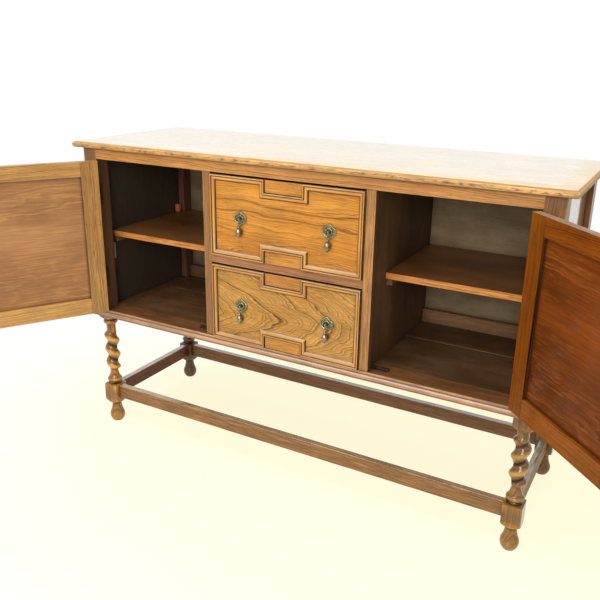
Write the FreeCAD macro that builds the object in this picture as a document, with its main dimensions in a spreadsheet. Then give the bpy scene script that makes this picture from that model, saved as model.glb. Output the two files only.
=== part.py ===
import FreeCAD, Part
import os
import re
from math import cos, sin, pi

from FreeCAD import Vector

# An oak sideboard on barley-twist legs: two cupboards with framed doors, and two drawers between them.
# Frame: origin on the floor under the middle of the case, +X to the viewer's right, -Y to the front, +Z up.
# The doors are stored standing open and the drawers shut, with the drop pulls hanging.

doc = FreeCAD.newDocument("Sideboard")
dims = doc.addObject("Spreadsheet::Sheet", "Dims")

# Driving dimensions, in millimetres and degrees.
sizes = {
    # the whole and its top
    "overall_height": 889, "case_width": 1320, "case_depth": 435,
    "top_thick": 18, "top_over_side": 25, "top_over_front": 18, "top_over_back": 14,
    "top_step": 2.5, "top_step_set": 8, "top_nose": 6,
    # case frame
    "post_size": 45, "rail_thick": 20, "top_rail_height": 30, "tenon_length": 12, "tenon_thick": 8,
    "tenon_shoulder": 4, "stile_width": 24, "drawer_opening": 442, "divider_height": 21,
    "divider_depth": 45, "lower_opening": 213.7, "groove_depth": 8, "panel_thick": 8, "panel_inset": 14,
    "partition_thick": 16, "partition_set": 2, "back_thick": 6, "back_set": 2, "back_lap": 10,
    "back_rail_thick": 18, "lower_back_height": 40, "upper_back_height": 34, "side_rail_height": 34,
    # base
    "base_thick": 21, "base_rail_width": 70, "base_reach": 10, "board_thick": 12, "board_lap": 10,
    "front_board_width": 170,
    # shelves
    "shelf_thick": 16.5, "left_shelf_front": 62, "right_shelf_front": 98, "shelf_rise": 233,
    "cleat_height": 18, "cleat_width": 16, "shelf_play": 1,
    # legs and stretchers
    "leg_height": 365.5, "leg_block": 48, "leg_inset": 5, "leg_inset_back": 6,
    "foot_radius": 22.5, "foot_neck": 14.4, "foot_height": 62, "block_low": 80, "block_high": 130,
    "ring_radius": 21.8, "lower_neck": 12.2, "upper_neck": 13.8, "bead_radius": 21.6, "shoulder_rise": 10,
    "twist_low": 174, "twist_high": 312, "twist_pitch": 46, "strand_radius": 18.2, "strand_offset": 4.4,
    "twist_fade": 15, "spigot_radius": 10, "spigot_length": 15, "spigot_play": 0.3,
    "stretcher_low": 86.5, "stretcher_height": 41.7, "stretcher_thick": 18, "stretcher_tenon": 14,
    # doors and hinges
    "door_thick": 19, "door_gap": 2, "door_set": 1, "door_stile": 48.5, "door_top_rail": 42,
    "door_bottom_rail": 46.5, "door_panel_thick": 6, "door_panel_set": 4, "door_sill_gap": 5,
    "left_door_open": 121, "right_door_open": 134,
    "hinge_out": 3.8, "knuckle_radius": 3.5, "hinge_pin_radius": 1.6, "pin_play": 0.45, "leaf_thick": 1.5,
    "leaf_width": 17, "hinge_height": 60, "hinge_inset": 70, "knuckle_play": 0.3,
    # drawers
    "drawer_gap": 1.5, "drawer_top_gap": 4, "drawer_seat": 0.3, "drawer_front_thick": 20, "drawer_set": 1,
    "drawer_side_thick": 10, "drawer_bottom_thick": 6, "drawer_bottom_rise": 10, "drawer_back_gap": 34,
    "drawer_side_drop": 5, "bottom_groove": 5, "tail_length": 12, "tail_flare": 5, "tail_play": 0.1,
    "runner_width": 20, "runner_height": 20,
    # applied mouldings
    "moulding_width": 14, "moulding_height": 7, "moulding_inset": 1, "tab_half": 53, "tab_height": 31,
    "tab_thick": 3.5, "tab_play": 2,
    # drop pulls
    "pull_spacing": 256, "plate_width": 36, "plate_height": 40, "plate_thick": 1.6, "boss_out": 11,
    "boss_radius": 5.2, "slot_width": 4, "pull_pin_radius": 1.2, "eye_radius": 3.2, "eye_thick": 3.2,
    "drop_length": 49, "drop_radius": 7.7, "drop_shank": 1.6, "pull_play": 0.45, "stud_radius": 3.4,
    # spring catches on the cupboard floor
    "catch_length": 44, "catch_width": 15, "catch_rise": 7, "catch_thick": 1.2, "catch_back": 24,
    "catch_side": 6,
}
for row, (name, value) in enumerate(sizes.items(), start=1):
    dims.set(f"A{row}", name)
    dims.set(f"B{row}", str(value))
    dims.setAlias(f"B{row}", name)
doc.recompute()

nodes = []

# Turned and rolled pieces are many-sided, with this many flats; the pins they turn on are round.
leg_sides = 12
rod_sides = 8
drop_sides = 8


def bound(text):
    """An expression on the sheet, from plain words naming its cells."""
    def cell(word):
        return f"Dims.{word.group()}" if word.group() in sizes else word.group()
    return re.sub(r"[a-z][a-z_]*", cell, text)


def value(text):
    """What an expression on the sheet comes to."""
    return float(dims.evalExpression(bound(text)))


def put(feature, **places):
    """Bind a feature's place along x, y and z."""
    for axis, text in places.items():
        feature.setExpression(f".Placement.Base.{axis}", bound(text))
    return feature


def box(name, x, y, z):
    """A board between two bound values on each axis."""
    board = doc.addObject("Part::Box", name)
    for side, axis, (low, high) in zip(("Length", "Width", "Height"), "xyz", (x, y, z)):
        board.setExpression(side, bound(f"({high}) - ({low})"))
        put(board, **{axis: low})
    return board


def rod(name, radius, low, high):
    """A slim upright rod with many flat sides."""
    bar = doc.addObject("Part::Prism", name)
    bar.Polygon = rod_sides
    bar.setExpression("Circumradius", bound(radius))
    bar.setExpression("Height", bound(f"({high}) - ({low})"))
    return put(bar, z=low)


def shaped(name, shape):
    """A shape worked out in code from the sheet's sizes."""
    feature = doc.addObject("Part::Feature", name)
    feature.Shape = shape
    return feature


def fuse(name, *features):
    """One solid from several."""
    joined = doc.addObject("Part::MultiFuse", name)
    joined.Shapes = list(features)
    return joined


def cut(name, base, *tools):
    """A solid with others taken out of it."""
    result = doc.addObject("Part::Cut", name)
    result.Base = base
    result.Tool = tools[0] if len(tools) == 1 else fuse(name + "_tools", *tools)
    return result


def node(name, *features):
    """A finished sub-part: one solid, or a group of like ones."""
    group = doc.addObject("Part::Compound", name)
    group.Links = list(features)
    group.Label = name
    nodes.append(group)
    return group


def across(side, low, high):
    """A span measured outward from the middle, on the right (1) or the left (-1)."""
    if side > 0:
        return low, high
    return f"-({high})", f"-({low})"


# Levels and planes that several pieces share.
front = "(-case_depth / 2)"
back = "(case_depth / 2)"
half = "(case_width / 2)"
post_in = "(case_width / 2 - post_size)"
base_top = "(leg_height + base_thick)"
top_low = "(overall_height - top_thick)"
rail_low = "(overall_height - top_thick - top_rail_height)"
divider_low = f"({base_top} + lower_opening)"
divider_top = f"({base_top} + lower_opening + divider_height)"
opening = "(drawer_opening / 2)"
stile_out = "(drawer_opening / 2 + stile_width)"
partition_in = "(drawer_opening / 2 + partition_set)"
partition_out = "(drawer_opening / 2 + partition_set + partition_thick)"
panel_in = "(case_width / 2 - panel_inset - panel_thick)"
panel_out = "(case_width / 2 - panel_inset)"
back_face = "(case_depth / 2 - back_set - back_thick)"
back_rail_face = "(case_depth / 2 - back_set - back_thick - back_rail_thick)"
leg_x = "(case_width / 2 - leg_inset - leg_block / 2)"
leg_front_y = "(-case_depth / 2 + leg_block / 2)"
leg_back_y = "(case_depth / 2 - leg_inset_back - leg_block / 2)"
tenon_low = "((rail_thick - tenon_thick) / 2)"
tenon_high = "((rail_thick + tenon_thick) / 2)"
hinge_x = "(case_width / 2 - post_size - door_gap / 2)"
hinge_y = "(-case_depth / 2 - hinge_out)"
door_low = f"({base_top} + door_sill_gap)"
door_high = f"({rail_low} - door_gap)"
hinge_levels = (f"({door_low} + hinge_inset)", f"({door_high} - hinge_inset - hinge_height)")
sides = {"left": -1, "right": 1}


def ring(radius, level, count, x=0, y=0):
    """The corners of a level regular polygon round the point x, y."""
    turns = [2 * pi * corner / count for corner in range(count)]
    return [Vector(x + radius * cos(turn), y + radius * sin(turn), level) for turn in turns]


def flat(corners):
    """A flat face with the given corners."""
    return Part.Face(Part.makePolygon(corners + corners[:1]))


def skinned(rings):
    """A solid over rings of corners, with two flat triangles between each pair of sides and flat ends."""
    faces = [flat(rings[0]), flat(rings[-1])]
    count = len(rings[0])
    for lower, upper in zip(rings, rings[1:]):
        for corner in range(count):
            following = (corner + 1) % count
            faces.append(flat([lower[corner], lower[following], upper[following]]))
            faces.append(flat([lower[corner], upper[following], upper[corner]]))
    shell = Part.Shell(faces)
    shell.sewShape()
    solid = Part.Solid(shell)
    if solid.Volume < 0:
        solid.reverse()
    return solid


def turned(stations, count):
    """A turning from its radius at each level, upward."""
    return skinned([ring(radius, level, count) for radius, level in stations])


def bulged(start, end, bulge, steps):
    """Stations (radius, level) after the start, along a curve that swells outward from its chord."""
    flare = end[0] - start[0]
    rise = end[1] - start[1]
    length = (flare ** 2 + rise ** 2) ** 0.5
    stations = []
    for step in range(1, steps + 1):
        share = step / steps
        swell = 4 * bulge * share * (1 - share) / length
        stations.append((start[0] + flare * share + swell * rise, start[1] + rise * share - swell * flare))
    return stations


def swept(path, profile_at, closed):
    """A moulding: a profile carried along a path of straight lengths, mitred at the corners."""
    corners = list(path)
    if closed:
        corners.append(corners[0])
    spine = Part.makePolygon(corners)
    return spine.makePipeShell([profile_at(corners[0])], True, False, 1)


# The top: a board with a rounded edge round its front and ends, and a shallow step above it.
def top_edge(start):
    nose = value("top_nose")
    inset = value("top_step_set")
    reach = value("post_size")
    low = value(top_low)
    high = value("overall_height")
    step = value("top_step")

    def at(inward, level):
        return Vector(start.x + inward, start.y, level)

    lines = [
        Part.LineSegment(at(reach, low), at(nose, low)),
        Part.Arc(at(nose, low), at(0, (low + high - step) / 2), at(nose, high - step)),
        Part.LineSegment(at(nose, high - step), at(inset, high - step)),
        Part.LineSegment(at(inset, high - step), at(inset + step, high)),
        Part.LineSegment(at(inset + step, high), at(reach, high)),
        Part.LineSegment(at(reach, high), at(reach, low)),
    ]
    return Part.Wire([line.toShape() for line in lines])


def edge_path(over_side, over_front, over_back):
    """Round the left end, the front and the right end of the case."""
    x = value(f"{half} + {over_side}")
    y_front = value(f"{front} - {over_front}")
    y_back = value(f"{back} + {over_back}")
    return [Vector(-x, y_back, 0), Vector(-x, y_front, 0), Vector(x, y_front, 0), Vector(x, y_back, 0)]


top_path = edge_path("top_over_side", "top_over_front", "top_over_back")
field_half = f"({half} + top_over_side - post_size)"
top_field = box("top_field", (f"-{field_half}", field_half),
                (f"{front} - top_over_front + post_size", f"{back} + top_over_back"),
                (top_low, "overall_height"))
top_rim = shaped("top_rim", swept(top_path, top_edge, False))
node("top_board", fuse("top_joined", top_field, top_rim))


# Turned legs with a carved twist between two square blocks.
def lower_turning():
    """Stations of the foot, the lower block and the ring; past the block's corners the leg stays square."""
    corner = 0.75 * value("leg_block")
    foot = value("foot_radius")
    neck = value("foot_neck")
    foot_top = value("foot_height")
    low = value("block_low")
    high = value("block_high")
    rise = value("shoulder_rise")
    ring_step = 0.82 * value("ring_radius")
    waist = value("lower_neck")
    twist_low = value("twist_low")
    toe = (0.7 * foot, 0)
    swell_end = (0.93 * foot, 0.5 * foot_top)
    ankle = (neck, foot_top)
    fillet_start = (ring_step, high + 0.3 * rise)
    fillet_end = (ring_step, high + 0.9 * rise)
    ring_end = (ring_step, high + 2.3 * rise)
    cove_end = (waist, twist_low - 0.1 * rise)
    return [
        toe,
        *bulged(toe, swell_end, 0.2 * foot, 4),
        *bulged(swell_end, ankle, -0.07 * foot, 3),
        *bulged(ankle, (corner, low), 0.02 * corner, 2),
        (corner, high),
        fillet_start,
        *bulged(fillet_start, fillet_end, 0.1 * ring_step, 2),
        *bulged(fillet_end, ring_end, 0.2 * value("ring_radius"), 4),
        *bulged(ring_end, cove_end, -0.08 * waist, 3),
    ]


def upper_turning():
    """Stations of the neck, the bead and the upper block."""
    corner = 0.75 * value("leg_block")
    rise = value("shoulder_rise")
    neck = value("upper_neck")
    bead_step = 0.82 * value("bead_radius")
    twist_high = value("twist_high")
    bead_start = (bead_step, twist_high + 2.2 * rise)
    bead_end = (bead_step, twist_high + 3.7 * rise)
    return [
        (neck, twist_high + 0.4 * rise),
        (neck, twist_high + 2 * rise),
        bead_start,
        *bulged(bead_start, bead_end, 0.18 * value("bead_radius"), 4),
        (corner, twist_high + 4.2 * rise),
        (corner, value("leg_height")),
    ]


def twist(hand, start_angle):
    """Level sections marching round the axis as they climb, fading into the necks at both ends."""
    steps_each_turn = 8
    low = value("twist_low")
    high = value("twist_high")
    pitch = value("twist_pitch")
    steps = int(round((high - low) / pitch * steps_each_turn))
    sections = []
    for step in range(steps + 1):
        level = low + (high - low) * step / steps
        fade = min(1.0, (level - low) / value("twist_fade"), (high - level) / value("twist_fade"))
        fade = fade * fade * (3 - 2 * fade)
        neck = value("lower_neck") if level < (low + high) / 2 else value("upper_neck")
        radius = neck + (value("strand_radius") - neck) * fade
        turn = start_angle * pi / 180 + hand * 2 * pi * (level - low) / pitch
        offset = value("strand_offset") * fade
        sections.append(ring(radius, level, leg_sides, offset * cos(turn), offset * sin(turn)))
    return sections


def leg(name, side, end, hand, start_angle):
    """One leg round its own axis, with a spigot on top and mortises for its two stretchers."""
    sections = [ring(radius, level, leg_sides) for radius, level in lower_turning()]
    sections += twist(hand, start_angle)
    sections += [ring(radius, level, leg_sides) for radius, level in upper_turning()]
    spindle = shaped(name + "_spindle", skinned(sections))
    blank = box(name + "_blank", ("-leg_block / 2", "leg_block / 2"), ("-leg_block / 2", "leg_block / 2"),
                ("0", "leg_height"))
    squared = doc.addObject("Part::Common", name + "_squared")
    squared.Base = blank
    squared.Tool = spindle
    spigot = rod(name + "_spigot", "spigot_radius", "leg_height", "leg_height + spigot_length")
    whole = fuse(name + "_whole", squared, spigot)
    level = ("stretcher_low + tenon_shoulder", "stretcher_low + stretcher_height - tenon_shoulder")
    cheek = ("-tenon_thick / 2", "tenon_thick / 2")
    deep = ("leg_block / 2 - stretcher_tenon", "leg_block / 2")
    along = box(name + "_mortise_x", across(-side, *deep), cheek, level)
    inward = box(name + "_mortise_y", cheek, across(-end, *deep), level)
    finished = cut(name + "_mortised", whole, along, inward)
    put(node(name, finished), x=f"{side} * {leg_x}", y=leg_front_y if end < 0 else leg_back_y)


leg("front_left_leg", -1, -1, -1, 107)
leg("front_right_leg", 1, -1, 1, 283)
leg("rear_left_leg", -1, 1, -1, 60)
leg("rear_right_leg", 1, 1, 1, 120)


# Stretchers: a plain box frame tenoned between the leg blocks.
def stretcher(name, x, y, tenon_x, tenon_y):
    height = ("stretcher_low", "stretcher_low + stretcher_height")
    level = ("stretcher_low + tenon_shoulder", "stretcher_low + stretcher_height - tenon_shoulder")
    bar = box(name + "_length", x, y, height)
    return fuse(name + "_bar", bar, box(name + "_tenons", tenon_x, tenon_y, level))


def thick_at(place, thickness):
    return f"{place} - {thickness} / 2", f"{place} + {thickness} / 2"


block_in_x = f"({leg_x} - leg_block / 2)"
block_in_front = f"({leg_front_y} + leg_block / 2)"
block_in_back = f"({leg_back_y} - leg_block / 2)"
clear_x = (f"-{block_in_x}", block_in_x)
tenon_x = (f"-{block_in_x} - stretcher_tenon", f"{block_in_x} + stretcher_tenon")
clear_y = (block_in_front, block_in_back)
tenon_y = (f"{block_in_front} - stretcher_tenon", f"{block_in_back} + stretcher_tenon")
for end, place in (("front", leg_front_y), ("rear", leg_back_y)):
    node(f"{end}_stretcher", stretcher(f"{end}_stretcher", clear_x, thick_at(place, "stretcher_thick"),
                                       tenon_x, thick_at(place, "tenon_thick")))
for label, side in sides.items():
    place = f"{side} * {leg_x}"
    node(f"{label}_stretcher", stretcher(f"{label}_stretcher", thick_at(place, "stretcher_thick"), clear_y,
                                         thick_at(place, "tenon_thick"), tenon_y))


# Base frame under the case: rails rebated for the floor boards, and a moulding mitred round them.
def leg_hole(name, side, place):
    deep = "leg_height + spigot_length + spigot_play"
    hole = rod(name, "spigot_radius + spigot_play", "leg_height", deep)
    return put(hole, x=f"{side} * {leg_x}", y=place)


base_level = ("leg_height", base_top)
rebate_level = (f"{base_top} - board_thick", base_top)
floor_x = f"({half} - base_rail_width + board_lap)"
floor_front = f"({front} + base_rail_width - board_lap)"
stile_tenon = (f"{front} + {tenon_low}", f"{front} + {tenon_high}")
tongue_span = (f"{opening} + tenon_shoulder", f"{stile_out} - tenon_shoulder")
base_bar = box("front_base_bar", (f"-{half}", half), (front, f"{front} + base_rail_width"), base_level)
base_tools = [box("front_base_rebate", (f"-{floor_x}", floor_x),
                  (floor_front, f"{front} + base_rail_width"), rebate_level)]
for label, side in sides.items():
    base_tools.append(box(f"{label}_stile_mortise", across(side, *tongue_span), stile_tenon,
                          (f"{base_top} - tenon_length", base_top)))
    base_tools.append(leg_hole(f"front_{label}_hole", side, leg_front_y))
node("front_base_rail", cut("front_base_cut", base_bar, *base_tools))
base_side_bars = []
for label, side in sides.items():
    bar = box(f"{label}_base_bar", across(side, f"{half} - base_rail_width", half),
              (f"{front} + base_rail_width", back), base_level)
    rebate = box(f"{label}_base_rebate", across(side, f"{half} - base_rail_width", floor_x),
                 (f"{front} + base_rail_width", back), rebate_level)
    groove = box(f"{label}_base_groove", across(side, panel_in, panel_out),
                 (f"{front} + base_rail_width", f"{back} - post_size + groove_depth"),
                 (f"{base_top} - tenon_shoulder", base_top))
    hole = leg_hole(f"rear_{label}_hole", side, leg_back_y)
    base_side_bars.append(cut(f"{label}_base_cut", bar, rebate, groove, hole))
node("side_base_rails", *base_side_bars)
node("rear_base_rail", box(
    "rear_base_bar", (f"-{half} + base_rail_width", f"{half} - base_rail_width"),
    (f"{back} - base_rail_width", back), ("leg_height", f"{base_top} - board_thick")))


def base_profile(start):
    """From the top: a fillet, a quirk, a broad ovolo and a thin band below it."""
    reach = value("base_reach")
    low = value("leg_height")
    height = value("base_thick")

    def at(outward, level):
        return Vector(start.x - outward, start.y, low + level * height)

    lines = [
        Part.LineSegment(at(0, 0), at(0.75 * reach, 0)),
        Part.LineSegment(at(0.75 * reach, 0), at(0.75 * reach, 0.2)),
        Part.LineSegment(at(0.75 * reach, 0.2), at(reach, 0.24)),
        Part.Arc(at(reach, 0.24), at(0.9 * reach, 0.48), at(0.55 * reach, 0.66)),
        Part.LineSegment(at(0.55 * reach, 0.66), at(0.4 * reach, 0.68)),
        Part.LineSegment(at(0.4 * reach, 0.68), at(0.4 * reach, 1)),
        Part.LineSegment(at(0.4 * reach, 1), at(0, 1)),
        Part.LineSegment(at(0, 1), at(0, 0)),
    ]
    return Part.Wire([line.toShape() for line in lines])


node("base_moulding", shaped("base_moulding_length", swept(edge_path("0", "0", "0"), base_profile, False)))
board_joint = f"({floor_front} + front_board_width)"
node("floor_boards",
     box("front_floor_board", (f"-{floor_x}", floor_x), (floor_front, board_joint), rebate_level),
     box("rear_floor_board", (f"-{floor_x}", floor_x), (board_joint, back), rebate_level))

# Corner posts, grooved for the side panels; the front ones take the hinges, the rear ones the back.
post_level = (base_top, top_low)
rail_level = (f"{rail_low} + tenon_shoulder", top_low)
groove_span = {"front": (f"{front} + post_size - groove_depth", f"{front} + post_size"),
               "rear": (f"{back} - post_size", f"{back} - post_size + groove_depth")}
for label, side in sides.items():
    x = across(side, post_in, half)
    groove_x = across(side, panel_in, panel_out)
    mortise_x = across(side, post_in, f"{post_in} + tenon_length")
    bar = box(f"front_{label}_post_bar", x, (front, f"{front} + post_size"), post_level)
    tools = [box(f"front_{label}_groove", groove_x, groove_span["front"], post_level),
             box(f"front_{label}_mortise", mortise_x, stile_tenon, rail_level)]
    for number, level in enumerate(hinge_levels):
        tools.append(box(f"{label}_hinge_recess_{number}", across(side, post_in, f"{post_in} + leaf_thick"),
                         (front, f"{front} + leaf_width"), (level, f"{level} + hinge_height")))
    node(f"front_{label}_post", cut(f"front_{label}_post_cut", bar, *tools))
    bar = box(f"rear_{label}_post_bar", x, (f"{back} - post_size", back), post_level)
    tools = [box(f"rear_{label}_groove", groove_x, groove_span["rear"], post_level),
             box(f"rear_{label}_rebate", across(side, post_in, f"{post_in} + back_lap"),
                 (back_face, back), post_level)]
    for place, level in (("low", (base_top, f"{base_top} + lower_back_height")),
                         ("high", (f"{top_low} - upper_back_height", top_low))):
        tools.append(box(f"rear_{label}_mortise_{place}", mortise_x, (back_rail_face, back_face), level))
    node(f"rear_{label}_post", cut(f"rear_{label}_post_cut", bar, *tools))

# Rails, stiles and panels of the case.
rail_y = (front, f"{front} + rail_thick")
rail_bar = box("front_top_bar", (f"-{post_in}", post_in), rail_y, (rail_low, top_low))
rail_tenons = box("front_top_tenons", (f"-{post_in} - tenon_length", f"{post_in} + tenon_length"),
                  stile_tenon, rail_level)
top_mortises = [box(f"{label}_stile_slot", across(side, *tongue_span), stile_tenon,
                    (rail_low, f"{rail_low} + tenon_length")) for label, side in sides.items()]
node("front_top_rail", cut("front_top_cut", fuse("front_top_bars", rail_bar, rail_tenons), *top_mortises))

stiles = []
divider_tenon = (f"{divider_low} + tenon_shoulder", f"{divider_top} - tenon_shoulder")
for label, side in sides.items():
    x = across(side, opening, stile_out)
    bar = box(f"{label}_stile_bar", x, rail_y, (base_top, rail_low))
    tongue = box(f"{label}_stile_tenons", across(side, *tongue_span), stile_tenon,
                 (f"{base_top} - tenon_length", f"{rail_low} + tenon_length"))
    slot = box(f"{label}_divider_slot", across(side, opening, f"{opening} + tenon_length"),
               stile_tenon, divider_tenon)
    stiles.append(cut(f"{label}_stile_cut", fuse(f"{label}_stile_bars", bar, tongue), slot))
node("drawer_stiles", *stiles)

divider_bar = box("divider_bar", (f"-{opening}", opening), (front, f"{front} + divider_depth"),
                  (divider_low, divider_top))
divider_ends = box("divider_tenons", (f"-{opening} - tenon_length", f"{opening} + tenon_length"),
                   stile_tenon, divider_tenon)
node("drawer_divider_rail", fuse("divider_joined", divider_bar, divider_ends))
node("drawer_runners", *[
    box(f"{label}_runner", across(side, f"{partition_in} - runner_width", partition_in),
        (f"{front} + divider_depth", back_rail_face), (f"{divider_top} - runner_height", divider_top))
    for label, side in sides.items()])

lower_back = (base_top, f"{base_top} + lower_back_height")
upper_back = (f"{top_low} - upper_back_height", top_low)
back_rail_x = (f"-{post_in} - tenon_length", f"{post_in} + tenon_length")
node("back_rails", *[box(f"{place}_back_rail", back_rail_x, (back_rail_face, back_face), level)
                     for place, level in (("lower", lower_back), ("upper", upper_back))])
for label, side in sides.items():
    x = across(side, partition_in, partition_out)
    board = box(f"{label}_partition_board", x, (f"{front} + rail_thick", back_face), post_level)
    notches = [box(f"{label}_partition_{place}", x, (back_rail_face, back_face), level)
               for place, level in (("low", lower_back), ("high", upper_back))]
    node(f"{label}_partition", cut(f"{label}_partition_cut", board, *notches))

panel_y = (groove_span["front"][0], groove_span["rear"][1])
panels = []
for label, side in sides.items():
    x = across(side, panel_in, panel_out)
    field = box(f"{label}_panel_field", x, panel_y, post_level)
    tongue = box(f"{label}_panel_tongue", x, (f"{front} + base_rail_width", panel_y[1]),
                 (f"{base_top} - tenon_shoulder", base_top))
    panels.append(fuse(f"{label}_panel_joined", field, tongue))
node("side_panels", *panels)
node("side_top_rails", *[
    box(f"{label}_top_rail", across(side, f"{panel_in} - rail_thick", panel_in),
        (f"{front} + post_size", f"{back} - post_size"), (f"{top_low} - side_rail_height", top_low))
    for label, side in sides.items()])
node("back_panel", box("back_sheet", (f"-{post_in} - back_lap", f"{post_in} + back_lap"),
                       (back_face, f"{back} - back_set"), post_level))

# Shelves on cleats, notched round the rear posts.
cleats = []
for label, side in sides.items():
    shelf_top = f"({base_top} + shelf_rise)"
    level = (f"{shelf_top} - shelf_thick", shelf_top)
    span = across(side, f"{partition_out} + shelf_play", f"{panel_in} - shelf_play")
    y = (f"{front} + {label}_shelf_front", f"{back_face} - shelf_play")
    notch = box(f"{label}_shelf_notch", across(side, f"{post_in} - shelf_play", f"{panel_in} - shelf_play"),
                (f"{back} - post_size - shelf_play", y[1]), level)
    node(f"{label}_shelf", cut(f"{label}_shelf_cut", box(f"{label}_shelf_board", span, y, level), notch))
    cleat_level = (f"{shelf_top} - shelf_thick - cleat_height", f"{shelf_top} - shelf_thick")
    cleat_y = (f"{front} + {label}_shelf_front + cleat_width / 2", f"{back} - post_size")
    for place, x in (("inner", (partition_out, f"{partition_out} + cleat_width")),
                     ("outer", (f"{panel_in} - cleat_width", panel_in))):
        cleats.append(box(f"{label}_{place}_cleat", across(side, *x), cleat_y, cleat_level))
node("shelf_cleats", *cleats)


# Butt hinges: leaves let into the posts and the door edges, knuckles round a loose pin.
def hinge_leaf(name, level, x, plate_y, web_y, spans):
    """A leaf round the hinge's own pin, with barrels over the given shares of its height."""
    solids = [box(name + "_plate", x, plate_y, (level, f"{level} + hinge_height"))]
    bores = []
    for number, (low, high) in enumerate(spans):
        low_z = f"{level} + hinge_height * {low} + knuckle_play"
        high_z = f"{level} + hinge_height * {high} - knuckle_play"
        solids.append(rod(f"{name}_barrel_{number}", "knuckle_radius", low_z, high_z))
        solids.append(box(f"{name}_web_{number}", x, web_y, (low_z, high_z)))
        bores.append(rod(f"{name}_bore_{number}", "hinge_pin_radius + pin_play", low_z, high_z))
    return cut(name + "_leaf", fuse(name + "_solids", *solids), *bores)


# Shares of a hinge's height: the post's barrels above and below, the door's between them.
post_spans = ((0, 0.33), (0.67, 1))
door_spans = ((0.33, 0.67),)
post_leaves = []
pins = []
for label, side in sides.items():
    for number, level in enumerate(hinge_levels):
        x = across(side, "door_gap / 2", "door_gap / 2 + leaf_thick")
        leaf = hinge_leaf(f"{label}_post_leaf_{number}", level, x, ("hinge_out", "hinge_out + leaf_width"),
                          ("0", "hinge_out"), post_spans)
        post_leaves.append(put(leaf, x=f"{side} * {hinge_x}", y=hinge_y))
        pin = doc.addObject("Part::Cylinder", f"{label}_pin_{number}")
        pin.setExpression("Radius", bound("hinge_pin_radius"))
        pin.setExpression("Height", bound("hinge_height"))
        pins.append(put(pin, x=f"{side} * {hinge_x}", y=hinge_y, z=level))
node("post_hinge_leaves", *post_leaves)
node("hinge_pins", *pins)


# Applied moulding: mitred lengths round a front, stepping in round a small block at the top and the bottom.
def stepped_path(half_width, low, high):
    tab = value("tab_half + tab_play")
    deep = value("tab_height + tab_play")
    upper = [(-half_width, high), (-tab, high), (-tab, high - deep),
             (tab, high - deep), (tab, high), (half_width, high)]
    lower = [(-x, low + high - z) for x, z in upper]
    start = (-half_width, (low + high) / 2)
    return [Vector(x, 0, z) for x, z in [start, *upper, *lower]]


def moulding_profile(start):
    """From the outside: a flat fillet, a step down, and an ovolo running out to the field."""
    width = value("moulding_width")
    height = value("moulding_height")

    def at(inward, out):
        return Vector(start.x + inward * width, -out * height, start.z)

    lines = [
        Part.LineSegment(at(0, 0), at(0, 0.9)),
        Part.LineSegment(at(0, 0.9), at(0.06, 1)),
        Part.LineSegment(at(0.06, 1), at(0.28, 1)),
        Part.LineSegment(at(0.28, 1), at(0.36, 0.74)),
        Part.Arc(at(0.36, 0.74), at(0.72, 0.62), at(0.94, 0.2)),
        Part.LineSegment(at(0.94, 0.2), at(1, 0)),
        Part.LineSegment(at(1, 0), at(0, 0)),
    ]
    return Part.Wire([line.toShape() for line in lines])


def geometric_moulding(name, half_width, low, high):
    """The stepped frame and its two blocks, planted on a face in the plane y = 0."""
    path = stepped_path(half_width, low, high)
    pieces = [shaped(name + "_frame", swept(path, moulding_profile, True))]
    wide = value("tab_half")
    thick = value("tab_thick")
    tall = value("tab_height")
    for place, level in (("lower", low), ("upper", high - tall)):
        block = Part.makeBox(2 * wide, thick, tall, Vector(-wide, -thick, level))
        pieces.append(shaped(f"{name}_{place}_block", block))
    return pieces


# Drop pulls: a pierced plate with a slotted boss and a pin, and a pear-shaped drop hung on the pin.
def facing(shape):
    """Lay a shape built upward from the level plane so that it stands out to the front."""
    shape.rotate(Vector(0, 0, 0), Vector(1, 0, 0), 90)
    return shape


def cross_bar(radius, length):
    """A many-sided bar along x, with its middle at the origin."""
    bar = flat(ring(radius, -length / 2, rod_sides)).extrude(Vector(0, 0, length))
    bar.rotate(Vector(0, 0, 0), Vector(0, 1, 0), 90)
    return bar


def pull_plate(name):
    """A six-sided plate in the plane y = 0, its boss standing out along -y with the pin across it."""
    wide = value("plate_width / 2")
    tall = value("plate_height / 2")
    thick = value("plate_thick")
    out = value("boss_out")
    boss = value("boss_radius")
    stud = value("stud_radius")
    flank = 0.35 * tall
    outline = [(0, tall), (wide, flank), (wide, -flank), (0, -tall), (-wide, -flank), (-wide, flank)]

    def sheet(share, near, far):
        corners = [Vector(share * x, share * y, near) for x, y in outline]
        return flat(corners).extrude(Vector(0, 0, far - near))

    plate = sheet(1, 0, thick).cut(sheet(0.84, 0.55 * thick, thick))
    piercing_sides = 4
    for x in (-0.46 * wide, 0.46 * wide):
        for y in (-0.4 * tall, 0.4 * tall):
            lozenge = flat(ring(0.24 * wide, 0, piercing_sides, x, y))
            plate = plate.cut(lozenge.extrude(Vector(0, 0, thick)))
    knob = turned([(stud, 0), (stud, out - 0.8 * boss), (boss, out - 0.4 * boss), (boss, out + 0.4 * boss),
                   (0.6 * boss, out + 0.9 * boss)], rod_sides)
    gap = value("slot_width")
    slot_end = out - value("eye_radius + pull_play")
    knob = knob.cut(Part.makeBox(gap, 2 * boss, 2 * boss, Vector(-gap / 2, -boss, slot_end)))
    pin_length = gap + stud / 2
    pin_end = Vector(-pin_length / 2, 0, out)
    pin = Part.makeCylinder(value("pull_pin_radius"), pin_length, pin_end, Vector(1, 0, 0))
    return shaped(name, facing(plate.fuse([knob, pin]).removeSplitter()))


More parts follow.
